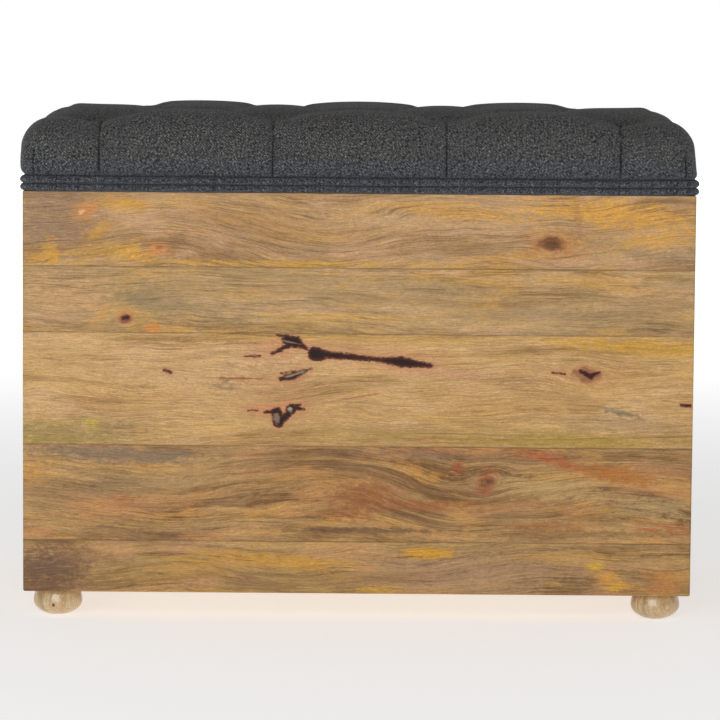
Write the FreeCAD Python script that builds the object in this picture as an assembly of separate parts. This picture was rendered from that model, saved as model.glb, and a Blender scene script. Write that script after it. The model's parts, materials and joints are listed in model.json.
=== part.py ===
import FreeCAD, Part
import math
import os

# Storage bench: a box of edge-glued mango boards on four bun feet, closed by a deep-buttoned upholstered lid.
# The lid turns on two butt hinges let into the back and is carried by one soft-close stay on the right.
# Millimetres. +Z up, the origin on the floor under the middle of the box, the front faces -Y.

V = FreeCAD.Vector
X_AXIS = V(1, 0, 0)
Z_AXIS = V(0, 0, 1)

# ---- box ----
box_width = 660.0            # outside, along X
box_depth = 400.0            # outside, along Y
box_height = 396.0           # boards only, without feet or lid
wall = 18.0                  # board thickness
edge_round = 2.0             # sanded outer edges
rebate = 8.0                 # how far the side boards are let into the front and back
# Relative board widths, bottom to top; each panel is ripped to fill the box height.
long_panel_boards = {"bottom": 52.0, "lower": 95.0, "middle": 111.0, "upper": 65.0, "top": 73.0}
side_panel_boards = {"bottom": 86.0, "lower": 104.0, "upper": 118.0, "top": 88.0}

# ---- floor of the box ----
block_size = 44.0            # corner blocks that take the feet, square in plan
block_height = 20.0
cleat_width = 20.0
base_thickness = 9.0         # plywood
base_gap = 1.0               # round the plywood
joint_gap = 0.2              # between loose wooden pieces

# ---- feet ----
foot_height = 27.0
foot_radius = 24.3
foot_waist = 14.0            # height of the widest place
foot_lower_axis = 14.5       # half height of the ellipse below the widest place
foot_upper_axis = 24.4       # and above it
bolt_radius = 4.0
bolt_in_foot = 17.0
bolt_in_block = 17.0
tee_flange_radius = 10.0
tee_flange_thickness = 1.5
tee_barrel_radius = 5.2
tee_barrel_length = 9.0
tee_edge = 4.0               # tee nut flange in from the corner block's outer faces
round_gap = 0.1              # radial play of fixed round parts

# ---- lid ----
lid_board_inset = 5.0        # lid board edge in from the box's outer face
lid_board_thickness = 12.0
lid_corner_radius = 13.0
cover_thickness = 1.5        # cover cloth
cover_turn_under = 30.0      # cloth turned under the lid board
wadding_thickness = 6.0
layer_gap = 0.3              # between cloth, wadding and foam
lining_thickness = 1.0
lining_clearance = 3.0       # lining to the box's inner faces

# Cushion outline above the rim: height, distance outside the box's face, corner radius in plan.
cushion_height = 79.0
cushion_gap = 0.35           # cushion above the piping
cushion_sections = [
    (0.0, -0.5, 17.0),
    (0.10, 2.3, 19.0),
    (0.37, 0.0, 23.0),
    (0.62, -6.0, 30.0),
    (0.80, -14.0, 38.0),
    (0.94, -29.0, 48.0),
    (1.0, -45.0, 56.0),
]                            # the first value is the share of the way from start to height

# ---- buttons ----
button_end = 75.0            # outer buttons in from the box's ends
button_edge = 85.0           # outer rows in from the box's front and back
button_radius = 11.0
button_height = 7.0
button_rim = 2.0
button_floor = 49.0          # well floor above the rim
well_floor_radius = 12.5
well_top_radius = 24.0
shank_radius = 1.6
shank_length = 4.0
twine_radius = 1.2
twine_tail = 16.0
twine_flat = 0.8
staple_offset = 9.6          # staple from the twine's hole
staple_wire = 0.5
staple_width = 10.0
staple_leg_width = 1.2
staple_leg_depth = 7.0

# ---- piping round the lid's lower edge ----
lower_piping_radius = 3.7
upper_piping_radius = 3.75
piping_gap = 0.2             # piping to cloth
rim_gap = 0.3                # lower piping above the rim
piping_stack_gap = 0.05

# ---- hinges ----
hinge_length = 60.0
hinge_spacing = 400.0
leaf_thickness = 1.8
leaf_gap = 0.4
leaf_edge = 2.5              # wood left between the leaf and the box's inner face
pin_radius = 1.6
knuckle_radius = 3.4
knuckle_count = 5
knuckle_gap = 0.2
running_gap = 0.05
knuckle_to_piping = 0.4
mortise_gap = 0.3
hinge_screw_pitch = 20.0
screw_shank_radius = 1.7
screw_head_radius = 3.4
screw_recess = 1.0           # depth of the cross
screw_slot_reach = 1.8
screw_slot_half = 0.35
box_screw_length = 18.0
lid_screw_length = 12.0

# ---- lid stay, on the right side board ----
# A parallelogram: hinge axis, housing spindle, elbow and lid rivet.
spindle_forward = 60.0       # spindle in front of the hinge axis
spindle_below = 40.0
lid_rivet_forward = 170.0    # lid rivet in front of the hinge axis
lid_rivet_below = 10.0
housing_thickness = 12.0
housing_front = 24.0         # housing ends measured from the spindle
housing_back = 33.0
housing_half_height = 19.0
housing_round = 7.0
arm_thickness = 3.0
arm_width = 14.0
arm_boss_radius = 10.0
link_width = 12.0
stay_gap = 0.4               # between the stay's layers
spindle_radius = 5.0
spindle_depth = 8.0
spindle_cap_radius = 8.0
spindle_cap_thickness = 1.4
rivet_radius = 3.0
rivet_head_radius = 5.0
rivet_head_thickness = 1.2
bracket_plate = 2.0
bracket_reach = 27.0
bracket_half_length = 17.0
bracket_screw_edge = 6.0     # screws in from the bracket's ends
stay_screw_length = 14.0

# ---- worked out from the above ----
half_width = box_width / 2
half_depth = box_depth / 2
box_bottom = foot_height
rim = box_bottom + box_height
inner_x = half_width - wall
inner_y = half_depth - wall
flange_top = rim + cover_thickness
board_top = flange_top + lid_board_thickness
cushion_top = rim + cushion_height
board_half = (half_width - lid_board_inset, half_depth - lid_board_inset)
lower_piping_z = rim + rim_gap + lower_piping_radius
upper_piping_z = lower_piping_z + lower_piping_radius + piping_stack_gap + upper_piping_radius
cushion_bottom = upper_piping_z + upper_piping_radius + cushion_gap
skirt_inset = lid_board_inset - cover_thickness
foot_inset = wall + tee_edge + tee_flange_radius
leaf_reach = wall - leaf_edge
leaf_stack = 2 * leaf_thickness + leaf_gap
axis_z = rim - leaf_stack / 2
piping_reach = knuckle_radius + lower_piping_radius + knuckle_to_piping
lower_piping_y = half_depth - skirt_inset + piping_gap + lower_piping_radius
axis_y = lower_piping_y + math.sqrt(piping_reach ** 2 - (lower_piping_z - axis_z) ** 2)
spindle_yz = (axis_y - spindle_forward, axis_z - spindle_below)
lid_rivet_yz = (axis_y - lid_rivet_forward, axis_z - lid_rivet_below)
elbow_yz = (spindle_yz[0] - lid_rivet_forward, spindle_yz[1] - lid_rivet_below)
button_pitch = (box_width - 2 * button_end) / 3
button_row = half_depth - button_edge
button_places = (
    [(k * button_pitch, s * button_row) for s in (-1, 1) for k in (-1.5, -0.5, 0.5, 1.5)]
    + [(k * button_pitch, 0.0) for k in (-1, 0, 1)]
)


# ---- shapes used more than once ----
def block(x0, x1, y0, y1, z0, z1):
    return Part.makeBox(x1 - x0, y1 - y0, z1 - z0, V(x0, y0, z0))


def rod(radius, start, direction, length):
    return Part.makeCylinder(radius, length, start, direction)


def fused(shapes):
    whole = shapes[0]
    for s in shapes[1:]:
        whole = whole.fuse(s)
    return whole.removeSplitter()


def cut(shape, tools):
    """Takes away only the tools whose boxes meet the shape's."""
    near = [t for t in tools if t.BoundBox.intersect(shape.BoundBox)]
    return shape.cut(near) if near else shape


def rounded_wire(half_x, half_y, radius, z):
    """Rounded rectangle about the Z axis, from four lines and four arcs."""
    r = radius
    k = r * (1 - math.sqrt(0.5))
    edges = []
    for sx, sy in ((1, 1), (-1, 1), (-1, -1), (1, -1)):
        a = V(sx * half_x, sy * (half_y - r), z)
        mid = V(sx * (half_x - k), sy * (half_y - k), z)
        b = V(sx * (half_x - r), sy * half_y, z)
        first, last = (a, b) if sx * sy > 0 else (b, a)
        edges.append(Part.Arc(first, mid, last).toShape())
    joined = []
    for n, arc in enumerate(edges):
        following = edges[(n + 1) % 4]
        joined.append(arc)
        joined.append(Part.makeLine(arc.Vertexes[-1].Point, following.Vertexes[0].Point))
    return Part.Wire(joined)


def rounded_plate(half_x, half_y, radius, z0, z1):
    return Part.Face(rounded_wire(half_x, half_y, radius, z0)).extrude(V(0, 0, z1 - z0))


def cushion(inset, bottom):
    """The padded body of the lid, drawn in by inset on its sides and top."""
    top = cushion_top - inset
    wires = []
    for share, outside, corner in cushion_sections:
        z = bottom + (top - bottom) * share
        reach = outside - inset
        radius = max(corner - inset, 2.0)
        wires.append(rounded_wire(half_width + reach, half_depth + reach, radius, z))
    return Part.makeLoft(wires, True, True)


def wells(grow):
    """The conical hollows that the buttons pull down, grown for the layers under the cloth."""
    floor = rim + button_floor - grow
    top = cushion_top + 1.0
    slope = (well_top_radius - well_floor_radius) / (cushion_height - button_floor)
    floor_radius = well_floor_radius + grow
    top_radius = floor_radius + slope * (top - floor)
    return [Part.makeCone(floor_radius, top_radius, top - floor, V(x, y, floor)) for x, y in button_places]


def holes_at_buttons(radius, z0, z1):
    return [rod(radius, V(x, y, z0), Z_AXIS, z1 - z0) for x, y in button_places]


def screw(at, direction, length, head_depth=leaf_thickness):
    """Countersunk cross-head screw: the flat of its head lies at a point, its shank along direction."""
    head = Part.makeCone(screw_head_radius, screw_shank_radius, head_depth)
    body = fused([head, rod(screw_shank_radius, V(0, 0, 0), Z_AXIS, length)])
    for x, y in ((screw_slot_reach, screw_slot_half), (screw_slot_half, screw_slot_reach)):
        body = body.cut(block(-x, x, -y, y, -1, screw_recess))
    body.Placement = FreeCAD.Placement(at, FreeCAD.Rotation(Z_AXIS, direction))
    return body


def screw_hole(at, direction, length, head_depth=leaf_thickness):
    """Countersunk hole for that screw, with play all round."""
    g = round_gap
    start = at - direction * 0.01
    sink = Part.makeCone(screw_head_radius + g, screw_shank_radius + g, head_depth, start, direction)
    return sink.fuse(rod(screw_shank_radius + g, start, direction, length + g))


def bar(ends, width, x0, x1):
    """Flat bar in a YZ plane with round ends centred on two points."""
    (ya, za), (yb, zb) = ends
    run = V(0, yb - ya, zb - za)
    side = X_AXIS.cross(run)
    side.normalize()
    side = side * (width / 2)
    a, b = V(x0, ya, za), V(x0, yb, zb)
    outline = Part.makePolygon([a + side, b + side, b - side, a - side, a + side])
    middle = Part.Face(outline).extrude(V(x1 - x0, 0, 0))
    discs = [rod(width / 2, p, X_AXIS, x1 - x0) for p in (a, b)]
    return fused([middle] + discs)


def piping(radius, z):
    """One welt: a round cord in cloth that runs round the lid and closes on itself."""
    outside = piping_gap + radius - skirt_inset
    reach_x, reach_y = half_width + outside, half_depth + outside
    corner = lid_corner_radius + cover_thickness + piping_gap + radius
    run_x, run_y = reach_x - corner, reach_y - corner
    pieces = []
    for s in (-1, 1):
        pieces.append(rod(radius, V(-run_x, s * reach_y, z), X_AXIS, 2 * run_x))
        pieces.append(rod(radius, V(s * reach_x, -run_y, z), V(0, 1, 0), 2 * run_y))
    for n, (sx, sy) in enumerate(((1, 1), (-1, 1), (-1, -1), (1, -1))):
        turn = Part.makeTorus(corner, radius, V(0, 0, 0), Z_AXIS, -180, 180, 90)
        turn.rotate(V(0, 0, 0), Z_AXIS, 90 * n)
        turn.translate(V(sx * run_x, sy * run_y, z))
        pieces.append(turn)
    return fused(pieces)


# ---- the box ----
def box_body():
    """The outside of the box as one block, its upright and bottom edges sanded round."""
    body = block(-half_width, half_width, -half_depth, half_depth, box_bottom, rim)
    upright = [e for e in body.Edges if abs(e.tangentAt(e.FirstParameter).z) > 0.9]
    below = [e for e in body.Edges if e.BoundBox.ZMax < box_bottom + 0.1]
    return body.makeFillet(edge_round, upright + below)


def board_levels(widths):
    scale = box_height / sum(widths.values())
    levels, z = {}, box_bottom
    for name, width in widths.items():
        levels[name] = (z, z + width * scale)
        z += width * scale
    return levels


def panel_boards(panel, side, widths, tools):
    """Rips a panel into its edge-glued boards and drills them."""
    made = {}
    for name, (z0, z1) in board_levels(widths).items():
        slab = block(-box_width, box_width, -box_depth, box_depth, z0, z1)
        made[f"{side}_board_{name}"] = cut(panel.common(slab), tools)
    return made


def make_boards(back_tools, right_tools):
    body = box_body()
    lip = wall - rebate
    made = {}
    for side, s, tools in (("front", -1, []), ("back", 1, back_tools)):
        ys = sorted((s * half_depth, s * inner_y))
        panel = body.common(block(-half_width, half_width, ys[0], ys[1], box_bottom, rim))
        seat = sorted((s * (half_depth - lip), s * inner_y))
        for sx in (-1, 1):
            xs = sorted((sx * inner_x, sx * half_width))
            panel = panel.cut(block(xs[0], xs[1], seat[0], seat[1], box_bottom, rim))
        made.update(panel_boards(panel, side, long_panel_boards, tools))
    reach = half_depth - lip
    for side, s, tools in (("left", -1, []), ("right", 1, right_tools)):
        xs = sorted((s * half_width, s * inner_x))
        panel = body.common(block(xs[0], xs[1], -reach, reach, box_bottom, rim))
        made.update(panel_boards(panel, side, side_panel_boards, tools))
    return made


def foot_places():
    x, y = half_width - foot_inset, half_depth - foot_inset
    return [(sx * x, sy * y) for sy in (-1, 1) for sx in (-1, 1)]


def make_base():
    """Corner blocks, cleats and the plywood that lies on them."""
    z0, z1 = box_bottom, box_bottom + block_height
    holes = []
    for x, y in foot_places():
        holes.append(rod(bolt_radius + round_gap, V(x, y, z0 - 1), Z_AXIS, bolt_in_block + 2))
        barrel_z = z1 - tee_flange_thickness - tee_barrel_length - round_gap
        holes.append(rod(tee_barrel_radius + round_gap, V(x, y, barrel_z), Z_AXIS, z1 - barrel_z + 1))
        flange_z = z1 - tee_flange_thickness - round_gap
        holes.append(rod(tee_flange_radius + round_gap, V(x, y, flange_z), Z_AXIS, z1 - flange_z + 1))
    made = {}
    names = {(-1, -1): "front_left", (1, -1): "front_right", (-1, 1): "back_left", (1, 1): "back_right"}
    for (sx, sy), name in names.items():
        xs = sorted((sx * inner_x, sx * (inner_x - block_size)))
        ys = sorted((sy * inner_y, sy * (inner_y - block_size)))
        made[f"corner_block_{name}"] = cut(block(xs[0], xs[1], ys[0], ys[1], z0, z1), holes)
    run_x = inner_x - block_size - joint_gap
    run_y = inner_y - block_size - joint_gap
    inside_y, inside_x = inner_y - cleat_width, inner_x - cleat_width
    made["cleat_front"] = block(-run_x, run_x, -inner_y, -inside_y, z0, z1)
    made["cleat_back"] = block(-run_x, run_x, inside_y, inner_y, z0, z1)
    made["cleat_left"] = block(-inner_x, -inside_x, -run_y, run_y, z0, z1)
    made["cleat_right"] = block(inside_x, inner_x, -run_y, run_y, z0, z1)
    x, y = inner_x - base_gap, inner_y - base_gap
    made["base_panel"] = block(-x, x, -y, y, z1, z1 + base_thickness)
    return made


def foot_profile_radius(z):
    axis = foot_lower_axis if z < foot_waist else foot_upper_axis
    return foot_radius * math.sqrt(1 - ((z - foot_waist) / axis) ** 2)


def make_feet():
    """Turned bun feet, their bolts and the tee nuts in the corner blocks."""
    steps = 6
    lower = [foot_waist * n / steps for n in range(steps + 1)]
    upper = [foot_waist + (foot_height - foot_waist) * n / steps for n in range(steps + 1)]
    curves = []
    for heights in (lower, upper):
        spline = Part.BSplineCurve()
        spline.interpolate([V(foot_profile_radius(z), 0, z) for z in heights])
        curves.append(spline.toShape())
    low, high = V(foot_profile_radius(0), 0, 0), V(foot_profile_radius(foot_height), 0, foot_height)
    closing = [
        Part.makeLine(high, V(0, 0, foot_height)),
        Part.makeLine(V(0, 0, foot_height), V(0, 0, 0)),
        Part.makeLine(V(0, 0, 0), low),
    ]
    bun = Part.Face(Part.Wire(curves + closing)).revolve(V(0, 0, 0), Z_AXIS, 360)
    hole_depth = bolt_in_foot + round_gap
    bun = bun.cut(rod(bolt_radius + round_gap, V(0, 0, foot_height - hole_depth), Z_AXIS, hole_depth + 1))
    made, bolts, nuts = {}, [], []
    for (x, y), name in zip(foot_places(), ("front_left", "front_right", "back_left", "back_right")):
        foot = bun.copy()
        foot.translate(V(x, y, 0))
        made[f"foot_{name}"] = foot
        bolt_start = V(x, y, foot_height - bolt_in_foot)
        bolts.append(rod(bolt_radius, bolt_start, Z_AXIS, bolt_in_foot + bolt_in_block))
        top = box_bottom + block_height
        flange = rod(tee_flange_radius, V(x, y, top - tee_flange_thickness), Z_AXIS, tee_flange_thickness)
        barrel_z = top - tee_flange_thickness - tee_barrel_length
        barrel = rod(tee_barrel_radius, V(x, y, barrel_z), Z_AXIS, tee_barrel_length)
        bore = rod(bolt_radius + round_gap, V(x, y, box_bottom), Z_AXIS, block_height + 1)
        nuts.append(fused([flange, barrel]).cut(bore))
    made["foot_bolts"] = Part.makeCompound(bolts)
    made["foot_tee_nuts"] = Part.makeCompound(nuts)
    return made


# ---- hinges ----
def hinge_screw_places():
    y = half_depth - leaf_reach / 2
    centres = (-hinge_spacing / 2, hinge_spacing / 2)
    return [(c + n * hinge_screw_pitch, y) for c in centres for n in (-1, 0, 1)]


def knuckles(centre, first, radius, gap):
    """Every second knuckle of a hinge, as plain rods along the pin."""
    length = hinge_length / knuckle_count
    start = centre - hinge_length / 2
    made = []
    for n in range(first, knuckle_count, 2):
        left = start + n * length + (gap if n > 0 else 0)
        right = start + (n + 1) * length - (gap if n < knuckle_count - 1 else 0)
        made.append(rod(radius, V(left, axis_y, axis_z), X_AXIS, right - left))
    return made


def hinge_leaf(centre, z0, z1, first):
    """One leaf with its own knuckles, cleared round the other leaf's."""
    reach = hinge_length / 2
    plate = block(centre - reach, centre + reach, half_depth - leaf_reach, axis_y, z0, z1)
    others = knuckles(centre, 1 - first, knuckle_radius + mortise_gap, -knuckle_gap)
    leaf = fused([plate.cut(others)] + knuckles(centre, first, knuckle_radius, knuckle_gap / 2))
    overlap = 1.0
    bore_start = V(centre - hinge_length / 2 - overlap, axis_y, axis_z)
    bore = rod(pin_radius + running_gap, bore_start, X_AXIS, hinge_length + 2 * overlap)
    return leaf.cut(bore)


def make_hinges():
    made, box_screws, lid_screws = {}, [], []
    box_top = axis_z - leaf_gap / 2
    lid_under = axis_z + leaf_gap / 2
    box_holes = [screw_hole(V(x, y, box_top), -Z_AXIS, box_screw_length) for x, y in hinge_screw_places()]
    lid_holes = [screw_hole(V(x, y, lid_under), Z_AXIS, lid_screw_length) for x, y in hinge_screw_places()]
    for name, s in (("left", -1), ("right", 1)):
        centre = s * hinge_spacing / 2
        box_leaf = hinge_leaf(centre, rim - leaf_stack, box_top, 0)
        lid_leaf = hinge_leaf(centre, lid_under, rim, 1)
        made[f"hinge_{name}_box_leaf"] = cut(box_leaf, box_holes)
        made[f"hinge_{name}_lid_leaf"] = cut(lid_leaf, lid_holes)
        pin_start = V(centre - hinge_length / 2, axis_y, axis_z)
        made[f"hinge_{name}_pin"] = rod(pin_radius, pin_start, X_AXIS, hinge_length)
    for x, y in hinge_screw_places():
        box_screws.append(screw(V(x, y, box_top), -Z_AXIS, box_screw_length))
        lid_screws.append(screw(V(x, y, lid_under), Z_AXIS, lid_screw_length))
    made["hinge_screws_box"] = Part.makeCompound(box_screws)
    made["hinge_screws_lid"] = Part.makeCompound(lid_screws)
    mortises = []
    reach = hinge_length / 2 + mortise_gap
    front, floor = half_depth - leaf_reach - mortise_gap, rim - leaf_stack
    for centre in (-hinge_spacing / 2, hinge_spacing / 2):
        mortises.append(block(centre - reach, centre + reach, front, half_depth + 1, floor, rim + 1))
    return made, mortises + box_holes, lid_holes


# ---- lid stay ----
def stay_layers():
    """X ranges of the housing, the arm and the link, from the wall inwards."""
    housing = (inner_x - housing_thickness, inner_x)
    arm = (housing[0] - stay_gap - arm_thickness, housing[0] - stay_gap)
    link = (arm[0] - stay_gap - arm_thickness, arm[0] - stay_gap)
    return housing, arm, link


def rivet(y, z, arm, link):
    """Through the arm's layer and the link's, with a head on each side."""
    play = stay_gap / 2
    start, end = link[0] - play, arm[1] + play
    shank = rod(rivet_radius, V(start, y, z), X_AXIS, end - start)
    seats = (start - rivet_head_thickness, end)
    heads = [rod(rivet_head_radius, V(x, y, z), X_AXIS, rivet_head_thickness) for x in seats]
    return fused([shank] + heads)


def stay_screw_places():
    """Screws of the housing, in Y and Z."""
    y, z = spindle_yz
    drop = housing_half_height - housing_round
    back = y + housing_back - housing_round
    return [(back, z + drop), (back, z - drop), (y - housing_front + housing_round, z - drop)]


def bracket_screw_places():
    x = stay_layers()[1][0] - bracket_reach / 2
    spread = bracket_half_length - bracket_screw_edge
    return [(x, lid_rivet_yz[0] - spread), (x, lid_rivet_yz[0] + spread)]


def make_stay():
    housing_x, arm_x, link_x = stay_layers()
    y, z = spindle_yz
    body = block(
        housing_x[0], housing_x[1],
        y - housing_front, y + housing_back,
        z - housing_half_height, z + housing_half_height,
    )
    corners = [e for e in body.Edges if abs(e.tangentAt(e.FirstParameter).x) > 0.9]
    body = body.makeFillet(housing_round, corners)
    bore = rod(spindle_radius + round_gap, V(housing_x[0] - 1, y, z), X_AXIS, spindle_depth + 1 + round_gap)
    wall_screws = [(V(housing_x[0], sy, sz), X_AXIS) for sy, sz in stay_screw_places()]
    length = housing_thickness + stay_screw_length
    wall_holes = [screw_hole(at, way, length) for at, way in wall_screws]
    made = {"stay_housing": cut(body, [bore] + wall_holes)}
    cap_x = arm_x[0] - stay_gap / 2 - spindle_cap_thickness
    spindle = rod(spindle_radius, V(cap_x, y, z), X_AXIS, housing_x[0] + spindle_depth - cap_x)
    cap = rod(spindle_cap_radius, V(cap_x, y, z), X_AXIS, spindle_cap_thickness)
    made["stay_spindle"] = fused([spindle, cap])

    arm = fused([
        bar((spindle_yz, elbow_yz), arm_width, *arm_x),
        rod(arm_boss_radius, V(arm_x[0], y, z), X_AXIS, arm_thickness),
    ])
    arm = arm.cut(rod(spindle_radius + running_gap, V(arm_x[0] - 1, y, z), X_AXIS, arm_thickness + 2))
    drill, through = link_x[0] - 1, arm_x[1] - link_x[0] + 2
    rivet_hole = rod(rivet_radius + running_gap, V(drill, *elbow_yz), X_AXIS, through)
    made["stay_arm"] = arm.cut(rivet_hole)
    made["stay_elbow_rivet"] = rivet(*elbow_yz, arm_x, link_x)
    lid_hole = rod(rivet_radius + round_gap, V(drill, *lid_rivet_yz), X_AXIS, through)
    made["stay_link"] = bar((elbow_yz, lid_rivet_yz), link_width, *link_x).cut([rivet_hole, lid_hole])

    plate_top = rim - lining_thickness
    plate_bottom = plate_top - bracket_plate
    by, bz = lid_rivet_yz
    plate = block(
        arm_x[0] - bracket_reach, arm_x[1],
        by - bracket_half_length, by + bracket_half_length,
        plate_bottom, plate_top,
    )
    tab = block(arm_x[0], arm_x[1], by - link_width / 2, by + link_width / 2, bz, plate_top)
    tab_end = rod(link_width / 2, V(arm_x[0], by, bz), X_AXIS, arm_thickness)
    lid_screws = [(V(sx, sy, plate_bottom), Z_AXIS) for sx, sy in bracket_screw_places()]
    lid_holes = [screw_hole(at, way, lid_screw_length, head_depth=bracket_plate) for at, way in lid_screws]
    made["stay_lid_bracket"] = cut(fused([plate, tab, tab_end]), lid_holes + [lid_hole])
    made["stay_lid_rivet"] = rivet(*lid_rivet_yz, arm_x, link_x)
    made["stay_screws_box"] = Part.makeCompound(
        [screw(at, way, length) for at, way in wall_screws]
    )
    made["stay_screws_lid"] = Part.makeCompound(
        [screw(at, way, lid_screw_length, head_depth=bracket_plate) for at, way in lid_screws]
    )
    return made, wall_holes, lid_holes


# ---- lid ----
def padded_body(inset, plate_half, plate_bottom):
    """A layer's outer shape: the drawn-in cushion, carried down to the lid board, with its wells."""
    start = cushion_bottom + cover_thickness
    plate_top = max(start, plate_bottom) + 1
    plate = rounded_plate(*plate_half, lid_corner_radius, plate_bottom, plate_top)
    return fused([cushion(inset, start), plate]).cut(wells(inset))


def make_cover(screw_holes):
    skirt_half = [h + cover_thickness for h in board_half]
    skirt = rounded_plate(*skirt_half, lid_corner_radius + cover_thickness, rim, cushion_bottom + 1)
    outer = fused([cushion(0, cushion_bottom), skirt]).cut(wells(0))
    inside = padded_body(cover_thickness, board_half, flange_top)
    opening = [h - cover_turn_under for h in board_half]
    under = rounded_plate(*opening, lid_corner_radius / 2, rim - 1, flange_top + 1)
    floor = rim + button_floor
    holes = holes_at_buttons(shank_radius + round_gap, floor - cover_thickness - 1, floor + 1)
    return cut(outer.cut([inside, under]), holes + screw_holes)


def make_padding():
    """Polyester wadding under the cloth, and the foam under the wadding."""
    gap = layer_gap
    outer = cover_thickness + gap
    inner = outer + wadding_thickness
    wadding_half = [h - gap for h in board_half]
    foam_half = [h - wadding_thickness for h in board_half]
    floor = rim + button_floor
    holes = holes_at_buttons(shank_radius + round_gap, board_top - 1, floor + 1)
    wadding = padded_body(outer, wadding_half, board_top + joint_gap)
    wadding = wadding.cut([padded_body(inner, foam_half, board_top - 1)] + holes)
    foam = padded_body(inner + gap, [h - gap for h in foam_half], board_top + joint_gap)
    return {"wadding": wadding, "foam_block": foam.cut(holes)}


def make_buttons():
    """Covered buttons, the twine that pulls each one down, and the staple that holds it."""
    floor = rim + button_floor
    base = floor + round_gap
    dome_height = button_height - button_rim
    dome_radius = (button_radius ** 2 + dome_height ** 2) / (2 * dome_height)
    under = flange_top - joint_gap
    buttons, ties, staples, slots = [], [], [], []
    for x, y in button_places:
        disc = rod(button_radius, V(x, y, base), Z_AXIS, button_rim)
        ball = Part.makeSphere(dome_radius, V(x, y, base + button_height - dome_radius))
        dome = ball.common(rod(button_radius, V(x, y, base + button_rim), Z_AXIS, button_height))
        shank = rod(shank_radius, V(x, y, base - shank_length), Z_AXIS, shank_length)
        buttons.append(fused([disc, dome, shank]))
        tail = block(x, x + twine_tail, y - twine_radius, y + twine_radius, under - twine_flat, under)
        knot, tail_bottom = base - shank_length, under - twine_flat
        drop = rod(twine_radius, V(x, y, tail_bottom), Z_AXIS, knot - tail_bottom)
        ties.append(fused([tail, drop]))
        x0, x1 = x + staple_offset - staple_leg_width / 2, x + staple_offset + staple_leg_width / 2
        reach, crown_bottom = staple_width / 2, tail_bottom - staple_wire
        pieces = [block(x0, x1, y - reach, y + reach, crown_bottom, tail_bottom)]
        top, g = flange_top + staple_leg_depth, round_gap
        for s in (-1, 1):
            ys = sorted((y + s * reach, y + s * (reach - staple_leg_width)))
            pieces.append(block(x0, x1, ys[0], ys[1], crown_bottom, top))
            slots.append(block(x0 - g, x1 + g, ys[0] - g, ys[1] + g, flange_top - 1, top + g))
        staples.append(fused(pieces))
    made = {
        "buttons": Part.makeCompound(buttons),
        "button_ties": Part.makeCompound(ties),
        "button_staples": Part.makeCompound(staples),
    }
    return made, slots


def make_lid(screw_holes):
    made, slots = make_buttons()
    board = rounded_plate(*board_half, lid_corner_radius, flange_top, board_top)
    ties = holes_at_buttons(twine_radius + round_gap, flange_top - 1, board_top + 1)
    made["lid_board"] = cut(board, ties + slots + screw_holes)
    lining = rounded_plate(
        inner_x - lining_clearance, inner_y - lining_clearance, lid_corner_radius / 2,
        rim - lining_thickness, rim,
    )
    made["lid_lining"] = cut(lining, screw_holes)
    made["cushion_cover"] = make_cover(screw_holes)
    made.update(make_padding())
    made["piping_lower"] = piping(lower_piping_radius, lower_piping_z)
    made["piping_upper"] = piping(upper_piping_radius, upper_piping_z)
    return made


def main():
    os.makedirs("parts", exist_ok=True)
    hinges, back_tools, hinge_lid_holes = make_hinges()
    stay, right_tools, stay_lid_holes = make_stay()
    nodes = {}
    nodes.update(make_boards(back_tools, right_tools))
    nodes.update(make_base())
    nodes.update(make_feet())
    nodes.update(hinges)
    nodes.update(stay)
    nodes.update(make_lid(hinge_lid_holes + stay_lid_holes))
    for name, shape in nodes.items():
        if not shape.isValid():
            print(f"not valid: {name}")
        shape.exportStep(f"parts/{name}.step")
    print(f"{len(nodes)} nodes; hinge axis y {axis_y:.3f} z {axis_z:.3f}; rim {rim:.1f}")
    print(f"spindle {spindle_yz}; elbow {elbow_yz}; lid rivet {lid_rivet_yz}")


main()
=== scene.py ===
import itertools
import json
import math
import random
import bmesh
import bpy
import numpy as np
from mathutils import Matrix, Vector


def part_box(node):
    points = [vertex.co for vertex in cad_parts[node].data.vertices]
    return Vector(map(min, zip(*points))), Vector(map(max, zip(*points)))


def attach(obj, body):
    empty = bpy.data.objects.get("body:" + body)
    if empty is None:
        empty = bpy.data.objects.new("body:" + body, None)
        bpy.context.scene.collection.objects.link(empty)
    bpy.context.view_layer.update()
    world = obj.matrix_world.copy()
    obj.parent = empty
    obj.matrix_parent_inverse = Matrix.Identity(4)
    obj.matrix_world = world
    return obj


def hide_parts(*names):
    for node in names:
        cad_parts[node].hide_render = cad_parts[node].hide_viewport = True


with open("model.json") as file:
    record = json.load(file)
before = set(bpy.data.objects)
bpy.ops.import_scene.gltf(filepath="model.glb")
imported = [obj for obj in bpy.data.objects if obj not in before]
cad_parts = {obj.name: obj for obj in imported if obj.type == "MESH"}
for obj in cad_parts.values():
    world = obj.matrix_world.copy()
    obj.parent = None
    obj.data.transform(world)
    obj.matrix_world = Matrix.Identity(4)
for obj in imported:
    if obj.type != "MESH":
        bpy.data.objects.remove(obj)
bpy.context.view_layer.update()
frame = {"nodes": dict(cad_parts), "record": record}
mm = 0.001
print("frame loaded:", len(frame["nodes"]), "nodes")

# heights and half sizes that several pieces share, read from the frame
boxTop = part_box("front_board_top")[1].z
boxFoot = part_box("front_board_bottom")[0].z
boxHalfX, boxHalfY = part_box("front_board_top")[1].x, -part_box("front_board_top")[0].y
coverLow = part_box("cushion_cover")[0]
boardLow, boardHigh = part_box("lid_board")
buttonsLow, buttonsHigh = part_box("buttons")


# small helpers
def addPiece(name, vertices, faces, smooth=True):
    mesh = bpy.data.meshes.new(name)
    mesh.from_pydata(np.asarray(vertices, float).tolist(), [], faces)
    mesh.polygons.foreach_set("use_smooth", [smooth] * len(mesh.polygons))
    mesh.update()
    piece = bpy.data.objects.new(name, mesh)
    bpy.context.scene.collection.objects.link(piece)
    return piece


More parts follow.
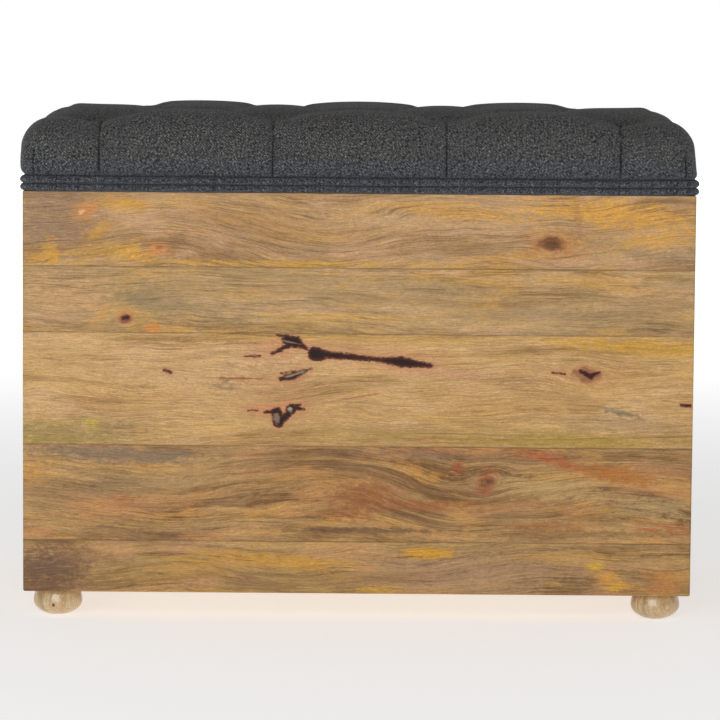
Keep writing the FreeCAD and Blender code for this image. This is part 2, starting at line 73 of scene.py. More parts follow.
def bakeModifiers(piece):
    # the result of the live modifiers becomes the piece's own plain mesh
    depsgraph = bpy.context.evaluated_depsgraph_get()
    result = bpy.data.meshes.new_from_object(piece.evaluated_get(depsgraph), depsgraph=depsgraph)
    piece.modifiers.clear()
    piece.data = result
    return piece


def meshPoints(piece):
    flat = np.empty(len(piece.data.vertices) * 3)
    piece.data.vertices.foreach_get("co", flat)
    return flat.reshape(-1, 3)


def setMeshPoints(piece, points):
    piece.data.vertices.foreach_set("co", np.asarray(points, float).ravel())
    piece.data.update()


def vertexNormals(piece):
    flat = np.empty(len(piece.data.vertices) * 3)
    piece.data.vertex_normals.foreach_get("vector", flat)
    return flat.reshape(-1, 3)


def smoothStep(low, high, x):
    t = np.clip((x - low) / (high - low), 0, 1)
    return t * t * (3 - 2 * t)


def setUvs(piece, uvOfCorner):
    layer = piece.data.uv_layers.new(name="clothUV")
    layer.data.foreach_set("uv", np.asarray(uvOfCorner, float).ravel())


class Nodes:
    # a node tree, written as nested calls: every call adds one node and returns its output
    def __init__(self, tree):
        self.tree = tree

    def add(self, kind, inputs=None, output=0, **settings):
        node = self.tree.nodes.new(kind)
        for key, value in settings.items():
            setattr(node, key, value)
        for key, value in (inputs or {}).items():
            self.put(node.inputs[key], value)
        return node.outputs[output]

    def put(self, socket, value):
        if isinstance(value, bpy.types.NodeSocket):
            self.tree.links.new(value, socket)
        else:
            socket.default_value = value

    def math(self, operation, a, b=0.0, c=0.0, clamp=False):
        return self.add("ShaderNodeMath", {0: a, 1: b, 2: c}, operation=operation, use_clamp=clamp)

    def plus(self, a, b, clamp=False):
        return self.math("ADD", a, b, clamp=clamp)

    def minus(self, a, b):
        return self.math("SUBTRACT", a, b)

    def times(self, a, b):
        return self.math("MULTIPLY", a, b)

    def vector(self, operation, a, b=(0, 0, 0), output=0):
        return self.add("ShaderNodeVectorMath", {0: a, 1: b}, output, operation=operation)

    def scaled(self, vector, x, y, z):
        return self.vector("MULTIPLY", vector, (x, y, z))

    def dimmed(self, colour, factor):
        return self.add("ShaderNodeVectorMath", {0: colour, "Scale": factor}, operation="SCALE")

    def parts(self, vector):
        node = self.tree.nodes.new("ShaderNodeSeparateXYZ")
        self.put(node.inputs[0], vector)
        return node.outputs[0], node.outputs[1], node.outputs[2]

    def joined(self, x, y, z):
        return self.add("ShaderNodeCombineXYZ", {0: x, 1: y, 2: z})

    def noise(self, vector, scale=1.0, detail=3.0, roughness=0.55, colour=False):
        inputs = {"Vector": vector, "Scale": scale, "Detail": detail, "Roughness": roughness}
        return self.add("ShaderNodeTexNoise", inputs, 1 if colour else 0)

    def ranged(self, value, low, high, toLow=0.0, toHigh=1.0, smooth=True):
        inputs = {"Value": value, "From Min": low, "From Max": high, "To Min": toLow, "To Max": toHigh}
        kind = "SMOOTHSTEP" if smooth else "LINEAR"
        return self.add("ShaderNodeMapRange", inputs, interpolation_type=kind)

    def swing(self, value, texture, low, high, reach):
        # the value goes up and down with the texture, by the reach at most
        return self.plus(value, self.ranged(texture, low, high, -reach, reach, False))

    def place(self):
        return self.add("ShaderNodeTexCoord", output="Object")

    def clothPlace(self):
        return self.add("ShaderNodeUVMap", uv_map="clothUV")

    def within(self, vector, x, z, long, high, deep, tilt=0.0):
        # the distance from the middle of a tilted ellipsoid, which is 1 at its skin
        inputs = {"Vector": vector, "Location": (x, z, 0), "Rotation": (0, 0, math.radians(tilt)),
                  "Scale": (long, high, deep)}
        return self.vector("LENGTH", self.add("ShaderNodeMapping", inputs, vector_type="TEXTURE"), output=1)

    def bell(self, distance, rate):
        # 1 in the middle and less further out
        return self.math("EXPONENT", self.times(self.times(distance, distance), -rate))

    def mix(self, share, a, b, blend="MIX"):
        node = self.tree.nodes.new("ShaderNodeMix")
        node.data_type, node.blend_type = "RGBA", blend
        self.put(node.inputs[0], share)
        self.put(node.inputs[6], a)
        self.put(node.inputs[7], b)
        return node.outputs[2]

    def bump(self, height, distance, strength=1.0, normal=None):
        inputs = {"Height": height, "Distance": distance, "Strength": strength}
        if normal is not None:
            inputs["Normal"] = normal
        return self.add("ShaderNodeBump", inputs)


def rgb(red, green, blue):
    # a colour as seen on screen, 0 to 255, in the shader's linear units
    def linear(level):
        level /= 255
        return level / 12.92 if level <= 0.04045 else ((level + 0.055) / 1.055) ** 2.4
    return (linear(red), linear(green), linear(blue), 1.0)


def newMaterial(name):
    material = bpy.data.materials.new(name)
    material.use_nodes = True
    material.node_tree.nodes.clear()
    return material, Nodes(material.node_tree)


def finishMaterial(nodes, colour, normal=None, **sockets):
    shader = nodes.tree.nodes.new("ShaderNodeBsdfPrincipled")
    nodes.put(shader.inputs["Base Color"], colour)
    for key, value in sockets.items():
        nodes.put(shader.inputs[key.replace("_", " ")], value)
    if normal is not None:
        nodes.put(shader.inputs["Normal"], normal)
    nodes.tree.links.new(shader.outputs[0], nodes.tree.nodes.new("ShaderNodeOutputMaterial").inputs[0])


def dress(piece, material):
    piece.data.materials.clear()
    piece.data.materials.append(material)


# camera, floor and light
studio = {
    "cameraPlace": (0.006, -3.70, 0.609),
    "cameraTurns": (0.07, -5.70, -0.45),      # to the left, upwards and over to the right, in degrees
    "lens": 178.9,
    "sensor": 36.0,
    "clipEnd": 200.0,
    "lightsAim": (0, 0, 0.3),
    "floorSize": 60.0,
    "floorGrey": 0.72,
    "floorGlow": (0.54, 1.0, 0.5, 4.0),       # near and far, and the distances between which it changes
    "backdropPlace": 9.0,
    "backdropHeight": 3.0,
    "skyStrength": 0.25,
    "frontLight": (63.0, 2.4, (-0.7, -3.6, 0.85)),  # power, size and place
    "topLight": (0.6, 2.2, (0.6, 0.2, 2.8)),
}


def makeStudio():
    turn, rise, roll = (math.radians(a) for a in studio["cameraTurns"])
    data = bpy.data.cameras.new("camera")
    data.lens, data.sensor_width, data.sensor_fit = studio["lens"], studio["sensor"], "HORIZONTAL"
    data.clip_end = studio["clipEnd"]
    camera = bpy.data.objects.new("camera", data)
    steps = [Matrix.Rotation(turn, 4, "Z"), Matrix.Rotation(rise, 4, "X"), Matrix.Rotation(roll, 4, "Y")]
    upright = Matrix.Rotation(math.pi / 2, 4, "X")
    place = Matrix.Translation(studio["cameraPlace"])
    camera.matrix_world = place @ steps[0] @ steps[1] @ steps[2] @ upright
    bpy.context.scene.collection.objects.link(camera)
    bpy.context.scene.camera = camera

    half = studio["floorSize"] / 2
    corners = [(-half, -half, 0), (half, -half, 0), (half, half, 0), (-half, half, 0)]
    floor = addPiece("floor", corners, [(0, 1, 2, 3)], smooth=False)
    material, nodes = newMaterial("paleFloor")
    grey = studio["floorGrey"]
    near, far, start, end = studio["floorGlow"]
    away = nodes.vector("LENGTH", nodes.place(), output=1)
    glow = nodes.ranged(away, start, end, near, far)
    finishMaterial(nodes, (grey, grey, grey, 1), Roughness=0.85, Emission_Color=(1, 1, 1, 1),
                   Emission_Strength=glow)
    dress(floor, material)
    place, top = studio["backdropPlace"], studio["backdropHeight"]
    corners = [(half, place, 0), (-half, place, 0), (-half, place, top), (half, place, top)]
    backdrop = addPiece("backdrop", [(-x, y, z) for x, y, z in corners], [(0, 1, 2, 3)], smooth=False)
    material, nodes = newMaterial("paleBackdrop")
    finishMaterial(nodes, (0, 0, 0, 1), Roughness=1.0, Emission_Color=(1, 1, 1, 1), Emission_Strength=1.0)
    dress(backdrop, material)

    world = bpy.data.worlds.new("softSky")
    world.use_nodes = True
    background = world.node_tree.nodes["Background"]
    background.inputs["Color"].default_value = (1, 1, 1, 1)
    background.inputs["Strength"].default_value = studio["skyStrength"]
    bpy.context.scene.world = world
    for name in ("frontLight", "topLight"):
        power, size, spot = studio[name]
        lamp = bpy.data.lights.new(name, "AREA")
        lamp.energy, lamp.size = power, size
        light = bpy.data.objects.new(name, lamp)
        light.location = spot
        aim = Vector(studio["lightsAim"]) - Vector(spot)
        light.rotation_euler = aim.to_track_quat("-Z", "Y").to_euler()
        bpy.context.scene.collection.objects.link(light)
    bpy.context.scene.view_settings.view_transform = "Standard"
    print("studio ready")


makeStudio()


# the buttoned cushion
cushion = {
    "cellsPerPleat": 14,      # grid cells between two buttons, along a row and front to back
    "edgeCells": 7,           # cells from the outer buttons to where the top turns over
    "sideCells": 16,          # cells down the side
    "topHeight": 75.8 * mm,   # above the rim, before the padding swells
    "topInset": 39 * mm,      # the flat top ends this far in from the widest place
    "widest": 3.0 * mm,       # the sides stand out from the box this far
    "sideHeight": 19 * mm,    # height of the widest place
    "foot": -0.3 * mm,        # outside the box, at the piping
    "turnOver": 2.65,          # power of the rounded edge: 2 is an ellipse
    "cornerRadius": (18 * mm, 25 * mm),
    "skirtCorner": 14.5 * mm, # behind the piping, close round the board
    "skirtGap": 1.5 * mm,     # between the board's edge and the cover there
    "lean": 1.6 * mm,         # the whole cushion stands a little to the left
    "leanZone": (280 * mm, 320 * mm),
    "lowEnds": 3.4 * mm,      # the two end zones lie this much lower
    "lowZone": (200 * mm, 280 * mm),
    "crown": 3.5 * mm,        # the middle of the top lies this much higher
    "buttonDepth": 29 * mm,
    "buttonFlat": 10.5 * mm,
    "buttonReach": 17 * mm,   # how fast the cloth rises beside a button
    "pleatDepth": 9.5 * mm,   # half way between two buttons
    "leastWell": 20 * mm,
    "crestDepth": 9 * mm,     # where a pleat crosses the edge of the top
    "crestReach": (40 * mm, 78 * mm),
    "pleatFade": 25 * mm,     # a pleat grows shallow over this last stretch
    "endCrest": 0.35,         # share of that over the two ends
    "sidePleat": 1.2 * mm,
    "plateau": 4.2 * mm,      # the padding pushes the cloth up to here, far from any pleat
    "sidePlateau": 1.0 * mm,
    "give": 24 * mm,          # and it takes this distance to get there
    "swellRounds": 500,
    "clothFrames": 20,
    "clothQuality": 6,
    "clothMass": 0.4,
    "clothStiffness": 12,
    "clothShear": 6,
    "clothBending": 0.6,
    "clothPressure": 2.0,
    "clothSlack": 0.03,
    "clothCap": 2.0 * mm,
    "crease": 0.7,
    "grooveDepth": 2.6 * mm,
    "grooveWidths": (1.3 * mm, 1.2 * mm, 1.5 * mm),   # between buttons, down the sides, at the corners
    "lip": (0.9 * mm, 3.2 * mm, 2.4 * mm),            # one side laps over: height, place and width
    "cornerFold": 11 * mm,    # the fold's distance from the corner
    "cornerDepth": 1.6 * mm,
    "cornerTop": (38 * mm, 52 * mm),
    "foamDepth": 8.5 * mm,    # under the cloth
    "waddingDepths": (2.6 * mm, 7.8 * mm),
    "pleatRoom": 5 * mm,      # more under the pleats
    "turnUnder": 35 * mm,     # the cover's edge under the board, in from the box's outside
}
buttonPitchX = (buttonsHigh.x - buttonsLow.x - 22 * mm) / 3
buttonRowY = (buttonsHigh.y - buttonsLow.y - 22 * mm) / 2
buttonPlaces = [(k * buttonPitchX, s * buttonRowY) for s in (-1, 1) for k in (-1.5, -0.5, 0.5, 1.5)]
buttonPlaces += [(k * buttonPitchX, 0.0) for k in (-1, 0, 1)]


def sideProfile(t):
    # from the edge of the flat top, t = 0, to the piping, t = 1: how far outside the box and above the rim
    c = cushion
    upper = 0.86                       # share of the way that the rounded edge takes
    rise = c["topHeight"] - c["sideHeight"]
    if t < upper:
        angle = math.pi / 2 * t / upper
        power = 2 / c["turnOver"]
        outside = c["widest"] - c["topInset"] * (1 - math.sin(angle) ** power)
        return outside, c["sideHeight"] + rise * math.cos(angle) ** power
    share = (t - upper) / (1 - upper)
    low = coverFoot - boxTop
    outside = c["widest"] + (c["foot"] - c["widest"]) * share ** 2
    return outside, c["sideHeight"] + (low - c["sideHeight"]) * share


def evenProfile(count):
    # the same outline in even steps, then the skirt behind the piping and the turn-under
    fine = np.array([sideProfile(t) for t in np.linspace(0, 1, 400)])
    along = np.r_[0, np.cumsum(np.hypot(*np.diff(fine, axis=0).T))]
    wanted = np.linspace(0, along[-1], count + 1)
    levels = np.c_[np.interp(wanted, along, fine[:, 0]), np.interp(wanted, along, fine[:, 1]), wanted]
    skirt, under = boardHigh.x - boxHalfX + cushion["skirtGap"], -cushion["turnUnder"]
    low, board = coverLow.z - boxTop + 0.1 * mm, boardLow.z - boxTop - 0.15 * mm
    hidden = [(skirt, coverFoot - boxTop - 1 * mm), (skirt, low + 3 * mm), (skirt, low)]
    hidden += [(skirt - 3 * mm, low), (under, low), (under, board)]
    for outside, height in hidden:
        step = math.hypot(outside - levels[-1][0], height - levels[-1][1])
        levels = np.r_[levels, [(outside, height, levels[-1][2] + step)]]
    return levels


def roundedCorner(x, y, halfX, halfY, radius):
    # moves a point of a plain rectangle onto one whose corners are round
    dx, dy = abs(x) - (halfX - radius), abs(y) - (halfY - radius)
    if dx <= 0 or dy <= 0:
        return x, y
    shrink = max(dx, dy) / math.hypot(dx, dy)
    return math.copysign(halfX - radius + dx * shrink, x), math.copysign(halfY - radius + dy * shrink, y)


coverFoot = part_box("piping_upper")[1].z + 0.35 * mm


def cushionGrid():
    # vertices, faces, cloth coordinates and what each vertex belongs to
    c = cushion
    n, edge = c["cellsPerPleat"], c["edgeCells"]
    columns = np.linspace(-1.5 * buttonPitchX, 1.5 * buttonPitchX, 6 * n + 1)
    rows = np.linspace(-buttonRowY, buttonRowY, 2 * n + 1)
    outer = np.arange(1, edge + 1) / edge
    levels = evenProfile(c["sideCells"])
    low, high = c["cornerRadius"]
    foot = coverFoot - boxTop

    def placed(i, j, level):
        outside, height, _ = levels[level]
        halfX, halfY = boxHalfX + outside, boxHalfY + outside
        x = line(i, columns, halfX)
        y = line(j, rows, halfY)
        share = max(height - foot, 0) / (c["topHeight"] - foot)
        radius = low + (high - low) * share ** 2.2 if level <= c["sideCells"] else c["skirtCorner"]
        x, y = roundedCorner(x, y, halfX, halfY, radius)
        x -= c["lean"] * smoothStep(0, 0.15, share) * smoothStep(*c["leanZone"], abs(x))
        height -= c["lowEnds"] * smoothStep(*c["lowZone"], abs(x)) * smoothStep(0.3, 1, share)
        height += c["crown"] * (1 - smoothStep(20 * mm, buttonRowY + 20 * mm, abs(y))) * (level == 0)
        return x, y, boxTop + height

    def line(index, inner, half):
        # place of a grid line: fixed between the outer buttons, spread evenly outside them
        if index < edge:
            return -half + (half + inner[0]) * index / edge
        if index < edge + len(inner):
            return inner[index - edge]
        return inner[-1] + (half - inner[-1]) * outer[index - edge - len(inner)]

    countX, countY = 6 * n + 2 * edge, 2 * n + 2 * edge
    points, index = [], {}
    topHalf = (boxHalfX + levels[0][0], boxHalfY + levels[0][0])
    for j in range(countY + 1):
        for i in range(countX + 1):
            index[(i, j)] = len(points)
            points.append(placed(i, j, 0))
    ring = [(i, 0) for i in range(countX)] + [(countX, j) for j in range(countY)]
    ring += [(i, countY) for i in range(countX, 0, -1)] + [(0, j) for j in range(countY, 0, -1)]
    rings = [[index[p] for p in ring]]
    for level in range(1, len(levels)):
        rings.append([])
        for i, j in ring:
            rings[-1].append(len(points))
            points.append(placed(i, j, level))
    faces, uvs = [], []
    for j in range(countY):
        for i in range(countX):
            corners = [(i, j), (i + 1, j), (i + 1, j + 1), (i, j + 1)]
            # a cell that a slanting pleat crosses is split along it
            a, b = i - edge, j - edge
            inTop = 0 <= a < 6 * n and 0 <= b < 2 * n
            rising, falling = inTop and (a - b) % (2 * n) == 0, inTop and (a + b + 1) % (2 * n) == 0
            if rising:
                cells = [corners[:3], [corners[0], *corners[2:]]]
            elif falling:
                cells = [[corners[0], corners[1], corners[3]], corners[1:]]
            else:
                cells = [corners]
            for cell in cells:
                faces.append([index[p] for p in cell])
                uvs += [(line(p[0], columns, topHalf[0]), line(p[1], rows, topHalf[1])) for p in cell]
    total = len(ring)
    for level in range(len(levels) - 1):
        for k in range(total):
            after = (k + 1) % total
            faces.append([rings[level][k], rings[level + 1][k], rings[level + 1][after], rings[level][after]])
            side = 0 if k < countX else 1 if k < countX + countY else 2 if k < 2 * countX + countY else 3
            for step, place in ((level, k), (level + 1, k), (level + 1, after), (level, after)):
                down = levels[step][2]
                i, j = ring[place]
                x, y = line(i, columns, boxHalfX + levels[step][0]), line(j, rows, boxHalfY + levels[step][0])
                endX, endY = math.copysign(topHalf[0] + down, x), math.copysign(topHalf[1] + down, y)
                uvs.append([(x, endY), (endX, y), (x, endY), (endX, y)][side])
    return np.array(points), faces, uvs, index, rings, ring, levels


def pleatTargets(points, index, rings, ring, levels):
    # how far each vertex on a pleat or under a button is drawn in, and the corner folds
    c = cushion
    n, edge, last = c["cellsPerPleat"], c["edgeCells"], c["sideCells"]
    countX, countY = 6 * n + 2 * edge, 2 * n + 2 * edge
    drawnIn = np.full(len(points), np.nan)
    spacing = math.hypot(buttonPitchX / 2, buttonRowY)
    floor = boxTop + c["topHeight"] - c["buttonDepth"]

    def well(vertex):
        return min(c["buttonDepth"], max(points[vertex][2] - floor, c["leastWell"]))

    def between(vertex, share):
        # along a pleat from one button to the next
        near = max(min(share, 1 - share) * spacing - c["buttonFlat"], 0)
        return c["pleatDepth"] + (well(vertex) - c["pleatDepth"]) * math.exp(-near / c["buttonReach"])

    for start in range(6):
        for step in range(n + 1):
            for way in (-1, 1):
                # even starts leave an outer button, odd ones the middle row
                away = step if start % 2 == 0 else n - step
                vertex = index[(edge + start * n + step, edge + n + way * (n - away))]
                drawnIn[vertex] = between(vertex, step / n)

    def runOut(vertex, distance, total, crestShare):
        # how deep a pleat lies at this distance from its button
        fall = math.exp(-max(distance - c["buttonFlat"], 0) / c["buttonReach"])
        crestDepth = c["crestDepth"] * crestShare
        crest = crestDepth * (1 - smoothStep(*c["crestReach"], distance))
        depth = c["sidePleat"] + crest + (well(vertex) - crestDepth - c["sidePleat"]) * fall
        drawnIn[vertex] = depth * (1 - 0.6 * smoothStep(total - c["pleatFade"], total, distance))

    place = {p: k for k, p in enumerate(ring)}
    def runOver(cells, axis, start, crestShare):
        # from an outer button over the top's edge, cell by cell, and on down the side
        for cell in cells:
            runOut(index[cell], abs(points[index[cell]][axis]) - start, 1.0, crestShare)
        reach = abs(points[index[cells[-1]]][axis]) - start
        for level in range(1, last + 1):
            down, bottom = reach + levels[level][2], reach + levels[last][2]
            runOut(rings[level][place[cells[-1]]], down, bottom, crestShare)

    steps = range(edge + 1)
    for i, (j, way) in itertools.product(range(edge, countX, 2 * n), ((edge, -1), (countY - edge, 1))):
        runOver([(i, j + way * step) for step in steps], 1, buttonRowY, 1.0)
    for j, (i, way) in itertools.product((edge, countY - edge), ((edge, -1), (countX - edge, 1))):
        runOver([(i + way * step, j) for step in steps], 0, 1.5 * buttonPitchX, c["endCrest"])
    for i in (1, countX - 1):
        for j in (0, countY):
            for level in range(1, last + 1):
                vertex = rings[level][place[(i, j)]]
                if points[vertex][2] < boxTop + 46 * mm:
                    drawnIn[vertex] = c["sidePleat"]
    flat = points[:, 2] > boxTop + c["topHeight"] - c["lowEnds"] - 0.1 * mm
    for x, y in buttonPlaces:
        near = np.hypot(points[:, 0] - x, points[:, 1] - y)
        under = flat & (near < c["buttonFlat"])
        drawnIn[under] = points[under, 2] - floor
    for level in range(last, len(levels)):
        drawnIn[rings[level]] = 0.0
    return drawnIn


def swollen(piece, drawnIn):
    # padding pushes the skin out to a plateau, away from the pleats that hold it; each vertex settles between
    # its neighbours until the skin is smooth
    c = cushion
    edges = np.empty(len(piece.data.edges) * 2, int)
    piece.data.edges.foreach_get("vertices", edges)
    a, b = edges.reshape(-1, 2).T
    count = len(drawnIn)
    degree = np.bincount(a, minlength=count) + np.bincount(b, minlength=count)
    points, normals = meshPoints(piece), vertexNormals(piece)
    upward = smoothStep(0.2, 0.9, normals[:, 2])
    plateau = c["sidePlateau"] + (c["plateau"] - c["sidePlateau"]) * upward
    cell = buttonPitchX / 2 / c["cellsPerPleat"]
    pull = (cell / c["give"]) ** 2 / 4
    held = ~np.isnan(drawnIn)
    value = np.where(held, -np.nan_to_num(drawnIn), plateau)
    fixed = value[held]
    for _ in range(c["swellRounds"]):
        total = np.bincount(a, value[b], count) + np.bincount(b, value[a], count)
        value = (total / degree + pull * plateau) / (1 + pull)
        value[held] = fixed
    return points + normals * value[:, None]


def relaxCloth(piece, pinned):
    # a short cloth run lets the skin wrinkle between its pins; how far a point may move is capped
    c = cushion
    start = meshPoints(piece)
    group = piece.vertex_groups.new(name="pins")
    group.add([int(v) for v in np.nonzero(pinned)[0]], 1.0, "ADD")
    cloth = piece.modifiers.new("cloth", "CLOTH")
    settings = cloth.settings
    settings.quality = c["clothQuality"]
    settings.mass = c["clothMass"]
    settings.tension_stiffness = settings.compression_stiffness = c["clothStiffness"]
    settings.shear_stiffness = c["clothShear"]
    settings.bending_stiffness = c["clothBending"]
    settings.effector_weights.gravity = 0
    settings.use_pressure = True
    settings.uniform_pressure_force = c["clothPressure"]
    settings.vertex_group_mass = "pins"
    settings.shrink_min = -c["clothSlack"]
    cloth.collision_settings.use_collision = False
    cloth.point_cache.frame_start, cloth.point_cache.frame_end = 1, c["clothFrames"]
    scene = bpy.context.scene
    for number in range(1, c["clothFrames"] + 1):
        scene.frame_set(number)
    bakeModifiers(piece)
    moved = meshPoints(piece) - start
    length = np.linalg.norm(moved, axis=1)
    capped = c["clothCap"] * np.tanh(length / c["clothCap"])
    setMeshPoints(piece, start + moved * (capped / np.maximum(length, 1e-9))[:, None])
    scene.frame_set(1)
    piece.vertex_groups.clear()


def markPleats(piece, drawnIn, hidden):
    # pleat edges stay sharp when the mesh is divided, and the pleats are remembered on the vertices, where
    # the cloth later paints shade into them
    onPleat = ~np.isnan(drawnIn)
    onPleat[hidden] = False
    points = meshPoints(piece)
    for x, y in buttonPlaces:
        near = np.hypot(points[:, 0] - x, points[:, 1] - y)
        onPleat[(near < cushion["buttonFlat"]) & (points[:, 2] > boxTop + 35 * mm)] = False
    mark = piece.data.attributes.new("pleat", "FLOAT", "POINT")
    mark.data.foreach_set("value", onPleat.astype(float))
    edges = np.empty(len(piece.data.edges) * 2, int)
    piece.data.edges.foreach_get("vertices", edges)
    a, b = edges.reshape(-1, 2).T
    crease = piece.data.attributes.new("crease_edge", "FLOAT", "EDGE")
    crease.data.foreach_set("value", (onPleat[a] & onPleat[b]).astype(float) * cushion["crease"])


def foldPleats(piece):
    # every pleat is a groove, and on the sides one edge of it laps over the other
    c = cushion
    slantWidth, grooveWidth, cornerWidth = c["grooveWidths"]
    lip, lipPlace, lipWidth = c["lip"]
    points, normals = meshPoints(piece), vertexNormals(piece)
    pleat = np.empty(len(points))
    piece.data.attributes["pleat"].data.foreach_get("value", pleat)
    side = 1 - smoothStep(0.25, 0.75, normals[:, 2])
    side *= smoothStep(coverFoot - 0.5 * mm, coverFoot + 2 * mm, points[:, 2])
    high = (points[:, 2] > boxTop + 30 * mm) * (1 - side)
    fromButton = np.full(len(points), 1.0)
    for x, y in buttonPlaces:
        fromButton = np.minimum(fromButton, np.hypot(points[:, 0] - x, points[:, 1] - y))
    slanting = np.zeros(len(points))
    for x, dx, dy in itertools.product((-1, 0, 1), (-1, 1), (-1, 1)):
        run = np.array([dx * buttonPitchX / 2, dy * buttonRowY])
        off = points[:, :2] - (x * buttonPitchX, 0)
        t = np.clip(off @ run / (run @ run), 0, 1)
        gap = np.hypot(*(off - t[:, None] * run).T)
        slanting = np.maximum(slanting, np.exp(-(gap / slantWidth) ** 2))
    slanting *= smoothStep(c["buttonFlat"], c["buttonFlat"] + 4 * mm, fromButton)
    move = -c["grooveDepth"] * np.maximum(slanting, smoothStep(0.5, 1.0, pleat)) * high
    facing = np.abs(normals[:, :2])
    lines = [(0, k * buttonPitchX, facing[:, 1] > facing[:, 0]) for k in (-1.5, -0.5, 0.5, 1.5)]
    lines += [(1, k * buttonRowY, facing[:, 0] > facing[:, 1]) for k in (-1, 1)]
    groove = np.zeros(len(points))
    for axis, place, chosen in lines:
        off = points[:, axis] - place
        dip = np.exp(-(off / grooveWidth) ** 2) * side * chosen
        groove = np.maximum(groove, dip)
        move -= c["grooveDepth"] * dip
        move += lip * np.exp(-((off - lipPlace) / lipWidth) ** 2) * side * chosen
    corner = np.abs(points[:, 0]) - (boxHalfX - c["cornerFold"])
    dip = np.exp(-(corner / cornerWidth) ** 2) * side * (facing[:, 1] > facing[:, 0])
    dip *= 1 - smoothStep(*c["cornerTop"], points[:, 2] - boxTop)
    move -= c["cornerDepth"] * dip
    setMeshPoints(piece, points + normals * move[:, None])
    # the pleat mark now holds how deep each fold lies, for the painted shade in the folds
    deep = np.maximum.reduce([groove, dip, slanting * high, smoothStep(0.55, 1.0, pleat) * high])
    piece.data.attributes["pleat"].data.foreach_set("value", deep)


def closeBelow(piece):
    # fills the one open loop left at the bottom
    mesh = bmesh.new()
    mesh.from_mesh(piece.data)
    bmesh.ops.holes_fill(mesh, edges=[e for e in mesh.edges if e.is_boundary], sides=0)
    mesh.to_mesh(piece.data)
    mesh.free()


def paddingInside(piece, faces, rings, onPleat):
    # wadding and foam follow the cloth from inside; both stand on the board
    c = cushion
    last = c["sideCells"]
    kept = [f for f in faces if max(f) <= rings[last][-1]]
    used = rings[last][-1] + 1
    points, normals = meshPoints(piece)[:used], vertexNormals(piece)[:used]
    stand = boardHigh.z + 0.3 * mm

    def inside(depth):
        moved = points - normals * (depth + c["pleatRoom"] * onPleat[:used])[:, None]
        moved[:, 2] = np.maximum(moved[:, 2], stand)
        moved[rings[last], 2] = stand
        for axis in (0, 1):
            reach = boardHigh[axis] - depth / 2
            moved[:, axis] = np.clip(moved[:, axis], -reach, reach)
        return moved

    foam = addPiece("foamCore", inside(c["foamDepth"]), kept)
    closeBelow(foam)
    outer, inner = (inside(depth) for depth in c["waddingDepths"])
    both = kept + [[v + used for v in reversed(f)] for f in kept]
    foot = rings[last]
    for k in range(len(foot)):
        after = (k + 1) % len(foot)
        both.append([foot[k], foot[k] + used, foot[after] + used, foot[after]])
    wadding = addPiece("waddingLayer", np.r_[outer, inner], both)
    return wadding, foam


def makeCushion():
    c = cushion
    points, faces, uvs, index, rings, ring, levels = cushionGrid()
    drawnIn = pleatTargets(points, index, rings, ring, levels)
    piece = addPiece("tuftedCover", points, faces)
    setUvs(piece, uvs)
    markPleats(piece, drawnIn, np.concatenate(rings[c["sideCells"]:]))
    setMeshPoints(piece, swollen(piece, drawnIn))
    print("cushion shaped:", len(points), "vertices")
    relaxCloth(piece, ~np.isnan(drawnIn))
    print("cushion cloth relaxed")
    wadding, foam = paddingInside(piece, faces, rings, ~np.isnan(drawnIn))
    divide = piece.modifiers.new("divide", "SUBSURF")
    divide.levels = divide.render_levels = 2
    bakeModifiers(piece)
    foldPleats(piece)
    closeBelow(piece)
    print("cushion finished:", len(piece.data.polygons), "faces")
    return piece, wadding, foam


# piping
piping = {
    "around": 14,               # faces round the tube
    "step": 3 * mm,
    "unevenness": 0.12 * mm,    # in the radius
    "wander": 0.15 * mm,        # in the line
    "cornerRadius": 18.4 * mm,  # of the line, in plan
    "joinLength": 14 * mm,      # the ends overlap at the middle of the back
    "joinBulge": 0.25 * mm,
}


def roundedLoop(halfX, halfY, radius, step):
    # points of a rounded rectangle with their outward directions, starting at the middle of the back
    points = []
    corners = [(1, 1, 90), (1, -1, 0), (-1, -1, -90), (-1, 1, -180)]
    stops = [(0, halfY, 90)]
    for signX, signY, start in corners:
        centre = (signX * (halfX - radius), signY * (halfY - radius))
        for turn in np.linspace(start, start - 90, 13):
            angle = math.radians(turn)
            stops.append((centre[0] + radius * math.cos(angle), centre[1] + radius * math.sin(angle), turn))
    stops.append((0, halfY, -270))
    for (x0, y0, a0), (x1, y1, a1) in zip(stops, stops[1:]):
        parts = max(1, round(math.hypot(x1 - x0, y1 - y0) / step))
        for k in range(parts):
            angle = math.radians(a0 + (a1 - a0) * k / parts)
            x, y = x0 + (x1 - x0) * k / parts, y0 + (y1 - y0) * k / parts
            points.append((x, y, math.cos(angle), math.sin(angle)))
    return np.array(points)


def slowNoise(count, waves, seed):
    # an even, closed run of gentle random waves between -1 and 1
    source = random.Random(seed)
    place = np.arange(count) / count * 2 * math.pi
    total = np.zeros(count)
    for _ in range(12):
        total += np.sin(place * source.randint(*waves) + source.uniform(0, 2 * math.pi))
    return total / 12


